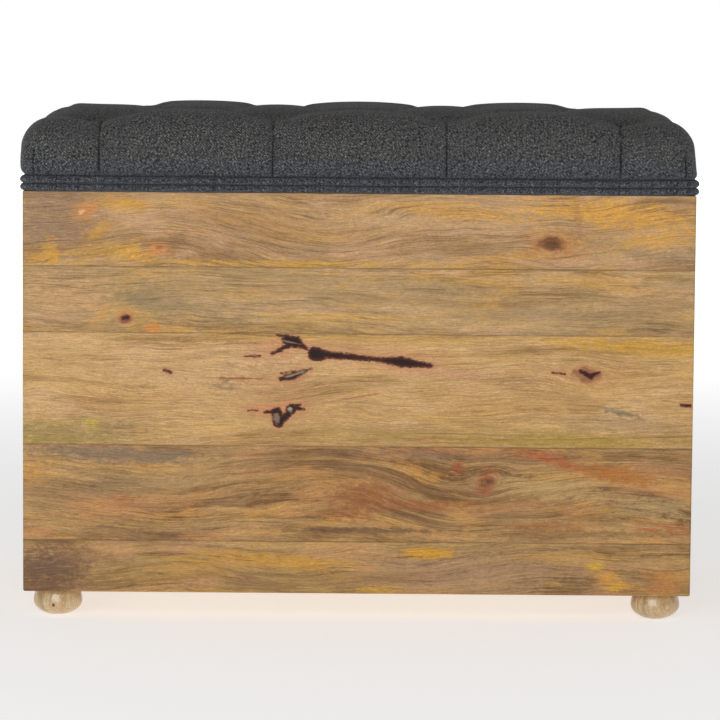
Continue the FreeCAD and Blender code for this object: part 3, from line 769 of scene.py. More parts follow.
def makePiping(name, node, seed):
    c = piping
    low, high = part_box(node)
    radius = (high.z - low.z) / 2
    line = roundedLoop(high.x - radius, high.y - radius, c["cornerRadius"], c["step"])
    count, around = len(line), c["around"]
    along = np.r_[0, np.cumsum(np.hypot(*np.diff(line[:, :2], axis=0).T))]
    total = along[-1] + c["step"]
    fromJoin = np.minimum(along, total - along)
    wide = radius + c["unevenness"] * slowNoise(count, (20, 160), seed)
    wide += c["joinBulge"] * np.exp(-(fromJoin / c["joinLength"]) ** 2) - 0.1 * mm
    shift = c["wander"] * slowNoise(count, (5, 40), seed + 1)
    points, faces, uvs = [], [], []
    for k in range(count):
        x, y, outX, outY = line[k]
        for m in range(around):
            angle = 2 * math.pi * m / around
            out = wide[k] * math.cos(angle) + shift[k]
            points.append((x + outX * out, y + outY * out, (low.z + high.z) / 2 + wide[k] * math.sin(angle)))
    for k in range(count):
        for m in range(around):
            after, up = (k + 1) % count, (m + 1) % around
            faces.append([k * around + m, k * around + up, after * around + up, after * around + m])
            u0, u1 = along[k], along[k] + c["step"]
            v0, v1 = (2 * math.pi * radius * w / around for w in (m, m + 1))
            uvs += [(u0, v0), (u0, v1), (u1, v1), (u1, v0)]
    piece = addPiece(name, points, faces)
    setUvs(piece, uvs)
    return piece


upperWelt = makePiping("upperWelt", "piping_upper", 3)
lowerWelt = makePiping("lowerWelt", "piping_lower", 8)
print("piping made")


# covered buttons, staples and the lining
buttonLook = {
    # outwards and upwards, as shares of the radius and the height
    "profile": [(0.0, 1.0), (0.22, 0.985), (0.45, 0.92), (0.66, 0.79), (0.84, 0.56), (0.95, 0.30),
                (1.0, 0.08), (0.97, -0.06), (0.86, -0.12)],
    "around": 36,
    "gathers": 9,             # small folds where the cloth goes round the shell
    "gatherDepth": 0.25 * mm,
    "seed": 11,
}
lining = {
    "thickness": 0.5 * mm,
    "step": 9 * mm,
    "sag": 0.5 * mm,
    "staplePitch": 38 * mm,
    "stapleInset": 7 * mm,
    "stapleWidth": 11 * mm,
    "stapleWire": 0.55 * mm,
    "seed": 5,
}


def repeated(holder, setTree, material, **inputs):
    # runs a Geometry Nodes tree on the holder's mesh and keeps the result as its plain mesh
    tree = bpy.data.node_groups.new(holder.name + "Tree", "GeometryNodeTree")
    tree.interface.new_socket("geometry", in_out="INPUT", socket_type="NodeSocketGeometry")
    kinds = {"item": "NodeSocketObject", "seed": "NodeSocketInt"}
    sockets = {}
    for name in inputs:
        kind = kinds.get(name, "NodeSocketFloat")
        sockets[name] = tree.interface.new_socket(name, in_out="INPUT", socket_type=kind)
    tree.interface.new_socket("geometry", in_out="OUTPUT", socket_type="NodeSocketGeometry")
    nodes = Nodes(tree)
    entry = tree.nodes.new("NodeGroupInput")
    instances = setTree(nodes, {socket.name: socket for socket in entry.outputs if socket.name})
    plain = nodes.add("GeometryNodeRealizeInstances", {0: instances})
    finished = nodes.add("GeometryNodeSetMaterial", {0: plain, "Material": material})
    nodes.put(tree.nodes.new("NodeGroupOutput").inputs[0], finished)
    modifier = holder.modifiers.new("repeat", "NODES")
    modifier.node_group = tree
    for name, value in inputs.items():
        modifier[sockets[name].identifier] = value
    bakeModifiers(holder)
    bpy.data.objects.remove(inputs["item"])
    return holder


def randomTurn(nodes, entry, low, high):
    node = nodes.tree.nodes.new("FunctionNodeRandomValue")
    node.data_type = "FLOAT"
    for socket, value in zip([s for s in node.inputs if s.enabled and s.name in ("Min", "Max")], (low, high)):
        socket.default_value = value
    nodes.put([s for s in node.inputs if s.name == "Seed"][0], entry["seed"])
    return [s for s in node.outputs if s.enabled][0]


def buttonTree(nodes, entry):
    points = nodes.add("GeometryNodeMeshToPoints", {0: entry["geometry"]})
    item = nodes.add("GeometryNodeObjectInfo", {"Object": entry["item"]}, "Geometry")
    turn = nodes.joined(0.0, 0.0, randomTurn(nodes, entry, 0.0, 6.283))
    size = nodes.joined(entry["size"], entry["size"], entry["size"])
    inputs = {"Points": points, "Instance": item, "Rotation": turn, "Scale": size}
    return nodes.add("GeometryNodeInstanceOnPoints", inputs)


def stapleTree(nodes, entry):
    line = nodes.add("GeometryNodeMeshToCurve", {0: entry["geometry"]})
    spaced = nodes.add("GeometryNodeResampleCurve", {"Curve": line, "Length": entry["pitch"]}, mode="LENGTH")
    tangent = nodes.add("GeometryNodeInputTangent")
    facing = nodes.add("FunctionNodeAlignRotationToVector", {"Vector": tangent}, axis="X", pivot_axis="Z")
    item = nodes.add("GeometryNodeObjectInfo", {"Object": entry["item"]}, "Geometry")
    inputs = {"Points": spaced, "Instance": item, "Rotation": facing}
    points = nodes.add("GeometryNodeInstanceOnPoints", inputs)
    turn = nodes.joined(0.0, 0.0, randomTurn(nodes, entry, -0.16, 0.16))
    return nodes.add("GeometryNodeRotateInstances", {"Instances": points, "Rotation": turn})


def buttonShape():
    c = buttonLook
    radius = (buttonsHigh.x - buttonsLow.x - 3 * buttonPitchX) / 2
    height, around = buttonsHigh.z - buttonsLow.z, c["around"]
    points, faces, uvs = [(0, 0, height)], [], []
    for share, up in c["profile"][1:]:
        for k in range(around):
            angle = 2 * math.pi * k / around
            fold = c["gatherDepth"] * math.cos(c["gathers"] * angle) * smoothStep(0.7, 1, share)
            reach = radius * share - abs(fold)
            points.append((reach * math.cos(angle), reach * math.sin(angle), max(up * height, 0.0)))
    rows = len(c["profile"]) - 1
    for k in range(around):
        after = (k + 1) % around
        faces.append([0, 1 + k, 1 + after])
        for row in range(rows - 1):
            a, b = 1 + row * around, 1 + (row + 1) * around
            faces.append([a + k, b + k, b + after, a + after])
    faces.append([1 + (rows - 1) * around + k for k in reversed(range(around))])
    piece = addPiece("buttonItem", points, faces)
    for face in piece.data.polygons:
        uvs += [(points[v][0] * 1.15, points[v][1] * 1.15) for v in face.vertices]
    setUvs(piece, uvs)
    return piece


def stapleShape():
    c = lining
    half, wire = c["stapleWidth"] / 2, c["stapleWire"] / 2
    path = [(-half, wire), (-half + wire, 0), (-half + 3 * wire, -wire * 0.6), (half - 3 * wire, -wire * 0.6)]
    path += [(half - wire, 0), (half, wire)]
    points, faces, sides = [], [], 8
    for x, z in path:
        for k in range(sides):
            angle = 2 * math.pi * k / sides
            points.append((x, wire * math.cos(angle), z + wire * 0.6 * math.sin(angle)))
    for row in range(len(path) - 1):
        for k in range(sides):
            after = (k + 1) % sides
            a, b = row * sides, (row + 1) * sides
            faces.append([a + k, a + after, b + after, b + k])
    faces += [list(range(sides))[::-1], [(len(path) - 1) * sides + k for k in range(sides)]]
    return addPiece("stapleItem", points, faces)


def makeButtons(material):
    seats = [(x, y, buttonsLow.z) for x, y in buttonPlaces]
    return repeated(addPiece("coveredButtons", seats, []), buttonTree, material,
                    item=buttonShape(), size=1.0, seed=buttonLook["seed"])


def makeLining():
    # the cloth is a little hollow between its staples, and its cut edge is turned in
    c = lining
    low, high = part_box("lid_lining")
    columns = round((high.x - low.x) / c["step"])
    rows = round((high.y - low.y) / c["step"])
    sag = slowNoise((columns + 1) * (rows + 1), (3, 50), c["seed"])
    points, faces, uvs = [], [], []
    for j in range(rows + 1):
        for i in range(columns + 1):
            x, y = low.x + (high.x - low.x) * i / columns, low.y + (high.y - low.y) * j / rows
            inside = min(x - low.x, high.x - x, y - low.y, high.y - y)
            sagged = c["sag"] * sag[j * (columns + 1) + i] * smoothStep(6 * mm, 60 * mm, inside)
            hem = 0.25 * mm * (1 - smoothStep(9 * mm, 11 * mm, inside))
            points.append((x, y, high.z - 0.15 * mm - c["thickness"] / 2 - hem + min(sagged, 0)))
    for j in range(rows):
        for i in range(columns):
            a = j * (columns + 1) + i
            faces.append([a, a + columns + 1, a + columns + 2, a + 1])
            uvs += [points[v][:2] for v in faces[-1]]
    piece = addPiece("liningCloth", points, faces)
    setUvs(piece, uvs)
    thick = piece.modifiers.new("thickness", "SOLIDIFY")
    thick.thickness, thick.offset = c["thickness"], 0
    bakeModifiers(piece)
    return piece


def makeLiningStaples(material):
    c = lining
    low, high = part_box("lid_lining")
    inset = c["stapleInset"]
    line = roundedLoop(high.x - inset, high.y - inset, 4 * mm, 20 * mm)
    points = [(x, y, low.z + 0.05 * mm) for x, y, _, _ in line]
    holder = addPiece("liningStaples", points, [])
    mesh = bpy.data.meshes.new("stapleLine")
    mesh.from_pydata(points, [(k, (k + 1) % len(points)) for k in range(len(points))], [])
    holder.data = mesh
    return repeated(holder, stapleTree, material, item=stapleShape(), pitch=c["staplePitch"], seed=c["seed"])


# cloth
weave = {
    "yarn": 0.7 * mm,
    "wobble": 1.2 * mm,
    "speckScale": (0.36, 0.17, 0),       # along the wale and across it, in yarns
    "fleckScale": (0.50, 0.24, 0),
    "blueBand": (2 * mm, 26 * mm),       # above the cover's foot
    # painted shade for the folds of the pleats
    "foldShade": rgb(14, 15, 17),
    "darkYarn": rgb(40, 41, 44),
    "lightYarn": rgb(103, 103, 102),
    "brownTint": rgb(178, 168, 156),
    "blueTint": rgb(168, 175, 190),
    "fleck": rgb(168, 167, 163),
    "relief": 0.25 * mm,
}


def clothMaterial(name, shade=1.0, blue=0.0, fleckShare=0.6, pleats=False, contrast=0.23):
    # a two-over-two twill in yarns of mixed greys; the wale runs down to the right
    c = weave
    material, nodes = newMaterial(name)
    cloth, place = nodes.clothPlace(), nodes.place()
    wobble = nodes.noise(nodes.scaled(cloth, 120, 120, 0), detail=1, colour=True)
    wobble = nodes.vector("SUBTRACT", wobble, (0.5, 0.5, 0.5))
    cloth = nodes.vector("ADD", cloth, nodes.scaled(wobble, c["wobble"], c["wobble"], 0))
    u, v, _ = nodes.parts(nodes.scaled(cloth, 1 / c["yarn"], 1 / c["yarn"], 0))
    warpNumber, weftNumber = nodes.math("FLOOR", u), nodes.math("FLOOR", v)
    phase = nodes.math("FRACT", nodes.times(nodes.plus(warpNumber, weftNumber), 0.25))
    warpOver = nodes.math("LESS_THAN", phase, 0.5)
    warpCrown, weftCrown = (nodes.math("SINE", nodes.times(nodes.math("FRACT", t), math.pi)) for t in (u, v))
    height = nodes.add("ShaderNodeMix", {0: warpOver, 2: weftCrown, 3: warpCrown})
    warpTone, weftTone = (nodes.add("ShaderNodeTexWhiteNoise", {0: nodes.joined(number, row, 0.5)})
                          for number, row in ((warpNumber, 3.3), (weftNumber, 7.7)))
    yarnTone = nodes.add("ShaderNodeMix", {0: warpOver, 2: weftTone, 3: warpTone})
    mixed = nodes.ranged(warpOver, 0, 1, 0.51 - contrast, 0.51 + contrast)
    mixed = nodes.mix(mixed, c["darkYarn"], c["lightYarn"])
    slanted = nodes.joined(nodes.plus(u, v), nodes.minus(u, v), 0.0)
    speck = nodes.noise(nodes.scaled(slanted, *c["speckScale"]), detail=2, roughness=0.75)
    slub = nodes.noise(nodes.scaled(cloth, 160, 420, 0), detail=3)
    tone = nodes.swing(nodes.ranged(yarnTone, 0, 1, 0.8, 1.2, False), speck, 0.32, 0.68, 1.3)
    tone = nodes.swing(tone, slub, 0.3, 0.7, 0.34)
    mixed = nodes.dimmed(mixed, nodes.times(nodes.math("MAXIMUM", tone, 0.12), shade))
    flecks = nodes.vector("ADD", nodes.scaled(slanted, *c["fleckScale"]), (31.7, 12.3, 4.1))
    flecks = nodes.noise(flecks, detail=1)
    mixed = nodes.mix(nodes.ranged(flecks, 0.58, 0.68, 0, fleckShare), mixed, c["fleck"])
    patches = nodes.noise(nodes.scaled(place, 14, 14, 22), detail=3)
    mixed = nodes.mix(nodes.ranged(patches, 0.52, 0.72, 0, 0.32), mixed, c["brownTint"], "SOFT_LIGHT")
    _, _, z = nodes.parts(place)
    start, end = (coverFoot + height for height in c["blueBand"])
    low = nodes.ranged(z, start, end, 0.8, 0.0)
    mixed = nodes.mix(nodes.math("MAXIMUM", low, blue), mixed, c["blueTint"], "SOFT_LIGHT")
    # painted shade: the cloth is darkened along the pleats, grooves and corner folds, where shade falls in
    # the folds
    if pleats:
        fold = nodes.add("ShaderNodeAttribute", output=2, attribute_name="pleat")
        mixed = nodes.mix(nodes.ranged(fold, 0.35, 0.95, 0, 0.86), mixed, c["foldShade"])
    fuzz = nodes.noise(nodes.scaled(cloth, 2600, 2600, 0), detail=1)
    normal = nodes.bump(nodes.plus(height, nodes.times(fuzz, 0.6)), c["relief"], 0.55)
    finishMaterial(nodes, mixed, normal, Roughness=0.92, Sheen_Weight=0.12, Sheen_Roughness=0.5,
                   Specular_IOR_Level=0.2)
    return material


def liningMaterial():
    # black, thin, non-woven dust cloth with a pressed pattern of small dots
    material, nodes = newMaterial("liningCloth")
    cloth = nodes.clothPlace()
    inputs = {"Vector": nodes.scaled(cloth, 1, 1, 0), "Scale": 620.0, "Randomness": 0.25}
    dots = nodes.add("ShaderNodeTexVoronoi", inputs)
    fibres = nodes.noise(nodes.scaled(cloth, 900, 900, 0), detail=4)
    tone = nodes.ranged(nodes.plus(dots, fibres), 0.5, 1.3)
    colour = nodes.mix(tone, rgb(30, 30, 32), rgb(58, 58, 61))
    finishMaterial(nodes, colour, nodes.bump(tone, 0.1 * mm, 0.5), Roughness=0.85, Specular_IOR_Level=0.25)
    return material


def fibreMaterial(name, pale, deep, scale, relief, roughness=0.95):
    # wadding and twine: a tangle of fine fibres
    material, nodes = newMaterial(name)
    place = nodes.place()
    bend = nodes.noise(place, scale / 4, 2, colour=True)
    bent = nodes.vector("ADD", place, nodes.scaled(bend, 0.01, 0.01, 0.01))
    fibres = nodes.noise(nodes.scaled(bent, 1, 1, 0.35), scale, 6, 0.7)
    colour = nodes.mix(nodes.ranged(fibres, 0.3, 0.7), deep, pale)
    normal = nodes.bump(fibres, relief, 0.6)
    finishMaterial(nodes, colour, normal, Roughness=roughness, Specular_IOR_Level=0.2)
    return material


def foamMaterial():
    material, nodes = newMaterial("cutFoam")
    place = nodes.place()
    cells = nodes.add("ShaderNodeTexVoronoi", {"Vector": place, "Scale": 900.0})
    cloud = nodes.ranged(nodes.noise(place, 20, 3), 0.3, 0.7, -0.2, 0.2)
    tone = nodes.plus(nodes.ranged(cells, 0, 0.9), cloud)
    colour = nodes.mix(tone, rgb(198, 176, 118), rgb(232, 218, 176))
    finishMaterial(nodes, colour, nodes.bump(cells, 0.4 * mm, 0.5), Roughness=0.95, Specular_IOR_Level=0.2)
    return material


# wood
# places are in millimetres: along the board, and up from the floor. A patch is a place, its half length and
# half height, its tilt in degrees, a colour and a strength. A knot is the same without the colour. A crack is
# two ends with a half width at each. Where the grain flows at a slant it has a place, a size and the slope.
frontBoards = {
    "front_board_top": {
        "pale": (190, 153, 107), "deep": (150, 112, 70), "pith": (455, 62), "taper": 0.020, "drift": 0.55,
        "patches": [
            (-296, 396, 46, 27, 0, (148, 122, 98), 0.8), (60, 392, 120, 22, 0, (196, 158, 118), 0.45),
            (-228, 412, 26, 8, -6, (206, 152, 56), 0.75), (-311, 358, 20, 7, 4, (200, 150, 62), 0.7),
            (-230, 364, 34, 9, -10, (204, 156, 70), 0.65), (-260, 388, 36, 10, 8, (150, 112, 78), 0.55),
            (-90, 392, 110, 16, -7, (176, 134, 84), 0.5), (-60, 354, 130, 3.5, 0, (205, 157, 64), 0.7),
            (90, 406, 70, 7, -5, (202, 150, 66), 0.6), (80, 378, 90, 8, -9, (160, 122, 78), 0.45),
            (250, 404, 74, 15, -8, (212, 156, 68), 0.85), (262, 372, 60, 9, -12, (146, 122, 92), 0.55),
            (150, 362, 60, 6, 5, (203, 152, 70), 0.5), (286, 380, 40, 8, 6, (210, 156, 72), 0.7),
            (192, 376, 34, 15, -4, (178, 118, 66), 0.6), (214, 398, 5, 22, 8, (150, 108, 66), 0.35),
            (-270, 404, 15, 9, 25, (204, 138, 76), 0.8), (-197, 368, 14, 7, 0, (206, 140, 76), 0.8),
            (-255, 385, 18, 7, 30, (208, 152, 60), 0.6), (-303, 362, 9, 13, 0, (206, 152, 60), 0.7),
            (-222, 366, 8, 12, 10, (208, 154, 62), 0.65), (-178, 374, 10, 14, -50, (132, 98, 66), 0.5),
            (-300, 400, 24, 12, 0, (156, 118, 82), 0.5),
        ],
        "knots": [(190, 375, 14, 8, 0, 0.8)],
        "marks": [
            (-272, 403, 3.6, 2.2, 20, (222, 172, 124), 0.9), (-195, 369, 5, 2.4, 0, (172, 84, 54), 0.8),
        ],
        "flows": [(-110, 385, 120, 48, 0.30), (130, 395, 90, 40, 0.12), (270, 385, 70, 40, -0.16)],
        "cool": (156, 128, 98), "blush": (202, 160, 120),
    },
    "front_board_upper": {
        "pale": (186, 152, 105), "deep": (148, 114, 70), "pith": (262, 75), "taper": 0.012,
        "patches": [
            (-290, 322, 50, 24, -8, (196, 154, 108), 0.7), (-205, 318, 44, 18, -4, (148, 128, 90), 0.6),
            (-120, 330, 110, 9, 2, (182, 148, 100), 0.5), (-30, 302, 120, 4, -1, (206, 158, 74), 0.5),
            (60, 330, 90, 6, -4, (160, 130, 92), 0.45), (150, 306, 80, 7, 2, (150, 128, 98), 0.4),
            (230, 336, 70, 6, -5, (204, 154, 78), 0.5), (300, 316, 30, 12, 6, (164, 126, 84), 0.5),
            (-201, 289, 7, 5, 0, (212, 136, 72), 0.85), (-229, 306, 14, 6, 0, (204, 148, 66), 0.55),
            (-252, 302, 16, 8, 20, (206, 152, 76), 0.5), (-225, 322, 26, 7, 0, (140, 122, 90), 0.5),
            (-175, 290, 16, 4, 0, (204, 150, 82), 0.5),
        ],
        "knots": [(-229, 299, 7, 5, 10, 1.0)],
        "cracks": [(-231, 299, 1.6, -227, 300, 2.0)],
        "flows": [(-230, 318, 60, 30, -0.10), (40, 320, 160, 40, 0.04)],
        "cool": (152, 130, 92),
    },
    "front_board_middle": {
        "pale": (204, 165, 109), "deep": (157, 118, 68), "pith": (335, 80), "taper": 0.016,
        "patches": [
            (-290, 186, 70, 15, 0, (148, 132, 66), 0.65), (-262, 193, 9, 5, 0, (196, 172, 52), 0.75),
            (-110, 240, 110, 34, 0, (210, 172, 128), 0.5), (262, 276, 84, 9, -3, (200, 152, 62), 0.85),
            (205, 181, 138, 8, 0, (168, 138, 62), 0.75), (-200, 250, 120, 22, 3, (196, 158, 106), 0.45),
            (-120, 216, 120, 12, -3, (199, 154, 104), 0.4), (-70, 224, 60, 34, 0, (176, 130, 86), 0.55),
            (120, 222, 120, 18, 2, (194, 150, 100), 0.4), (226, 244, 60, 20, 0, (186, 140, 88), 0.5),
            (270, 196, 60, 9, -4, (158, 128, 92), 0.5), (-250, 190, 80, 7, 2, (168, 134, 92), 0.45),
            (40, 190, 100, 5, 0, (166, 130, 88), 0.4), (-76, 272, 34, 14, 0, (200, 140, 100), 0.6),
            (0, 268, 90, 9, -4, (198, 144, 102), 0.5), (66, 248, 60, 5, -3, (202, 148, 112), 0.6),
            (-78, 213, 24, 9, 0, (204, 138, 94), 0.7), (0, 281, 170, 4, -1, (194, 152, 82), 0.6),
            (60, 187, 140, 6, 1, (176, 144, 82), 0.6),
        ],
        "knots": [(226, 247, 13, 8, -8, 0.8)],
        "cracks": [
            (-43, 265.5, 6.6, -37, 264.5, 6.0), (-34, 265, 3.6, 20, 260.2, 1.9),
            (20, 260.2, 1.7, 42, 258, 5.0), (42, 258, 5.0, 72, 254.5, 1.6), (-70, 279, 5.0, -62, 277, 5.6),
            (-61, 277, 4.2, -50, 270.0, 1.0), (-68, 274, 2.6, -85, 265, 1.0),
            (-80, 284, 0.8, -75, 283, 1.0), (-112, 262, 0.2, -97, 263, 0.7),
            (-76, 240.5, 1.8, -64, 243.5, 3.4), (-64, 243.5, 3.4, -46, 251, 0.3),
            (-76, 246, 0.1, -62, 248, 0.6), (-80, 207, 5.2, -78, 198, 5.6), (-76, 199, 4.0, -68, 206, 3.2),
            (-66, 210, 4.6, -65, 211, 4.4), (-62, 212, 2.4, -53, 210.5, 0.8),
            (-62, 213, 2.0, -56, 215, 0.4), (-84, 208, 1.8, -93, 207, 0.4), (-108, 209, 0.2, -99, 209, 0.4),
            (-191, 248, 0.9, -184, 246, 0.9), (191, 248.4, 0.4, 203, 247.4, 0.7),
            (219, 250, 1.8, 229, 245, 2.6), (229, 246, 2.4, 237, 249, 1.0),
            (318, 217.5, 0.9, 327, 217, 1.5),
        ],
        "flows": [(-250, 240, 90, 40, 0.10), (-40, 218, 70, 26, -0.22), (190, 250, 90, 30, 0.07)],
        "warm": (206, 162, 94), "cool": (186, 148, 100), "blush": (214, 174, 128), "lined": 0.36,
        "marks": [
            (-80, 202, 2.4, 4.6, 0, (134, 108, 92), 0.85),
            (-66.5, 210.4, 2.2, 2.2, 0, (158, 150, 132), 0.95),
            (-64, 244.6, 9, 1.3, 18, (140, 124, 100), 0.95),
            (-68, 277, 10, 0.8, -12, (150, 128, 104), 0.55), (-130, 233, 8, 5, 0, (134, 112, 78), 0.75),
            (-130, 233, 4.6, 2.6, 0, (196, 162, 116), 0.9), (257, 210, 21, 2.6, -14, (132, 112, 80), 0.85),
            (250, 212, 11, 1.2, -10, (160, 148, 122), 0.6), (-112, 240.5, 24, 0.9, -1, (150, 80, 58), 0.8),
            (-6, 222, 26, 0.9, 10, (170, 104, 74), 0.7),
        ],
    },
    "front_board_lower": {
        "pale": (190, 151, 97), "deep": (122, 86, 52), "pith": (70, 48), "taper": 0.030, "drift": 0.78,
        "patches": [
            (-240, 164, 100, 9, -3, (128, 110, 90), 0.75), (-220, 132, 110, 14, 3, (160, 130, 90), 0.6),
            (-110, 156, 60, 7, 3, (150, 116, 78), 0.5), (-230, 119, 16, 7, 0, (172, 112, 70), 0.55),
            (-60, 138, 90, 14, -5, (176, 134, 82), 0.5), (6, 120, 40, 17, 12, (150, 92, 52), 0.75),
            (70, 116, 46, 6, 0, (160, 90, 50), 0.7), (192, 95, 50, 5, -2, (168, 106, 58), 0.6),
            (0, 91, 115, 3.2, 0, (112, 84, 58), 0.75), (128, 140, 14, 10, 60, (154, 76, 46), 0.9),
            (100, 155, 9, 6, 60, (162, 88, 54), 0.8), (160, 120, 90, 8, 7, (150, 106, 66), 0.5),
            (210, 150, 80, 9, -6, (190, 150, 92), 0.5), (250, 106, 70, 7, 5, (146, 112, 74), 0.55),
            (-180, 94, 110, 6, 0, (186, 148, 92), 0.5), (100, 164, 110, 5, -2, (128, 104, 80), 0.5),
            (195, 161, 42, 6, -15, (178, 102, 60), 0.85), (262, 147, 46, 9, -12, (174, 110, 52), 0.85),
            (300, 95, 28, 6, 0, (176, 98, 58), 0.7), (200, 88, 120, 5, 0, (134, 102, 64), 0.6),
            (180, 134, 60, 10, -6, (190, 158, 104), 0.6), (288, 114, 52, 15, -6, (178, 148, 100), 0.75),
        ],
        "knots": [(128, 140, 9, 6, 20, 0.5)],
        "flows": [(-140, 130, 110, 40, -0.14), (40, 125, 60, 34, 0.35), (200, 130, 80, 36, -0.22)],
        "cool": (140, 110, 78), "blush": (196, 142, 94), "warm": (206, 150, 76),
        "lined": 0.36, "stroked": 0.28,
    },
    "front_board_bottom": {
        "pale": (184, 149, 92), "deep": (120, 87, 52), "pith": (150, 70), "taper": 0.018, "drift": 0.6,
        "patches": [
            (-305, 50, 46, 24, 0, (112, 84, 66), 0.85), (-262, 62, 40, 8, -8, (140, 104, 72), 0.6),
            (110, 50, 110, 24, 0, (172, 138, 106), 0.7), (304, 44, 20, 16, 0, (190, 128, 68), 0.7),
            (236, 56, 7, 4, 0, (216, 172, 46), 0.85), (248, 45, 9, 4, 30, (206, 150, 44), 0.75),
            (257, 37, 8, 4, 20, (214, 170, 46), 0.85), (-80, 60, 80, 9, -3, (200, 148, 58), 0.7),
            (-170, 46, 60, 8, 5, (184, 140, 78), 0.5), (70, 68, 26, 6, 0, (208, 152, 46), 0.85),
            (20, 31, 26, 4, 0, (202, 156, 56), 0.7), (250, 42, 20, 9, -20, (206, 150, 66), 0.7),
            (20, 42, 90, 7, 3, (150, 112, 76), 0.5), (150, 52, 80, 8, -3, (170, 134, 96), 0.5),
            (220, 66, 90, 5, 2, (196, 150, 80), 0.45), (290, 60, 44, 10, 0, (184, 146, 102), 0.5),
        ],
        "flows": [(-120, 50, 80, 30, 0.2), (120, 50, 90, 30, -0.12)],
        "cool": (144, 112, 80), "blush": (196, 148, 106), "lined": 0.26, "stroked": 0.25,
    },
}
woodGrain = {
    "relief": 0.06 * mm,
    "bendReach": 6.5,         # these are in millimetres
    "rippleReach": 0.8,
    "featureDepth": 60,       # knots and slants reach this far into the board
    "patchDepth": 40,
    "crackDepth": 12,
    "knotOpening": (0.22, 0.75),
    # a crack's colours; its dark core and rim are partly the split wood's own colour and partly painted shade
    # for the gap
    "crackColour": rgb(30, 14, 9),
    "crackGrain": rgb(72, 32, 22),
    "crackRim": rgb(96, 50, 32),
    "crackHalo": rgb(196, 134, 100),
    "poreColour": rgb(112, 80, 50),
    "knotStops": [(0.0, (44, 26, 20), 1.0), (0.34, (84, 46, 30), 1.0), (0.60, (136, 84, 52), 0.95),
                  (0.80, (176, 118, 74), 0.55), (1.0, (192, 140, 92), 0.0)],
    # noises: the scale along the board, up it and inwards, then octaves and roughness
    "bend": ((0.0052, 0.016, 0.016), 3, 0.55),
    "ripple": ((0.014, 0.05, 0.05), 2, 0.55),
    "broad": ((1, 0.16, 1), 3, 0.6),
    "rings": ((3, 0.55, 1), 4, 0.65),
    "streaks": ((14, 0.85, 1), 3, 0.75),
    "strokes": ((0.042, 0.62, 0.62), 3, 0.7),
    "fibre": ((0.10, 1.7, 1.7), 3, 0.75),
    "speckle": ((0.34, 0.75, 0.75), 3, 0.8),
    "hue": ((0.012, 0.055, 0.055), 6, 0.72),
    "cloud": ((0.007, 0.028, 0.028), 5, 0.6),
    "blush": ((0.009, 0.040, 0.041), 5, 0.65),
    "lines": ((0.017, 1.15, 1.16), 2, 0.5),
    "mottle": ((0.12, 0.20, 0.20), 5, 0.75),
    "pores": ((0.16, 2.2, 2.2), 1, 0.55),
    "rough": ((0.10, 0.16, 0.16), 3, 0.7),
    "jag": ((0.22, 0.5, 0.5), 5, 0.75),
}
# what a board has where its own entry says nothing else
plainBoard = {
    "warm": (202, 154, 78), "cool": (162, 132, 96), "blush": (206, 166, 124),
    "drift": 0.5, "lined": 0.55, "stroked": 0.4, "roughness": (0.46, 0.62), "shine": 0.2,
    "knots": [], "cracks": [], "flows": [], "marks": [],
}
# the feet are paler and lacquered
turnedFoot = {
    "pale": (212, 186, 142), "deep": (160, 132, 90), "warm": (202, 166, 112), "taper": 0.03,
    "roughness": (0.14, 0.24), "shine": 0.9,
}


def inventedBoard(seed, low, high, reach):
    # features for a board of the back or the sides, in the same family of colours
    source = random.Random(seed)
    tone = source.uniform(-8, 8)
    spot = lambda: (source.uniform(-reach, reach), source.uniform(low, high))
    colours = [(203, 152, 70), (150, 114, 76), (164, 132, 96), (176, 124, 78)]
    patches, knots = [], []
    for _ in range(8):
        colour = source.choice(colours)
        size = (*spot(), source.uniform(40, 120), source.uniform(4, 14), source.uniform(-8, 8))
        patches.append((*size, colour, source.uniform(0.4, 0.65)))
    for _ in range(source.randint(0, 2)):
        size = (*spot(), source.uniform(5, 13), source.uniform(4, 8), source.uniform(-20, 20))
        knots.append((*size, source.uniform(0.5, 0.95)))
    return {"pale": (190 + tone, 152 + tone, 105 + tone), "deep": (148 + tone, 110 + tone, 70 + tone),
            "pith": (source.uniform(low - 60, high + 60), source.uniform(45, 95)),
            "taper": source.uniform(0.01, 0.03), "patches": patches, "knots": knots}


def shade(tint, factor):
    return tuple(min(level * factor, 255) for level in tint)


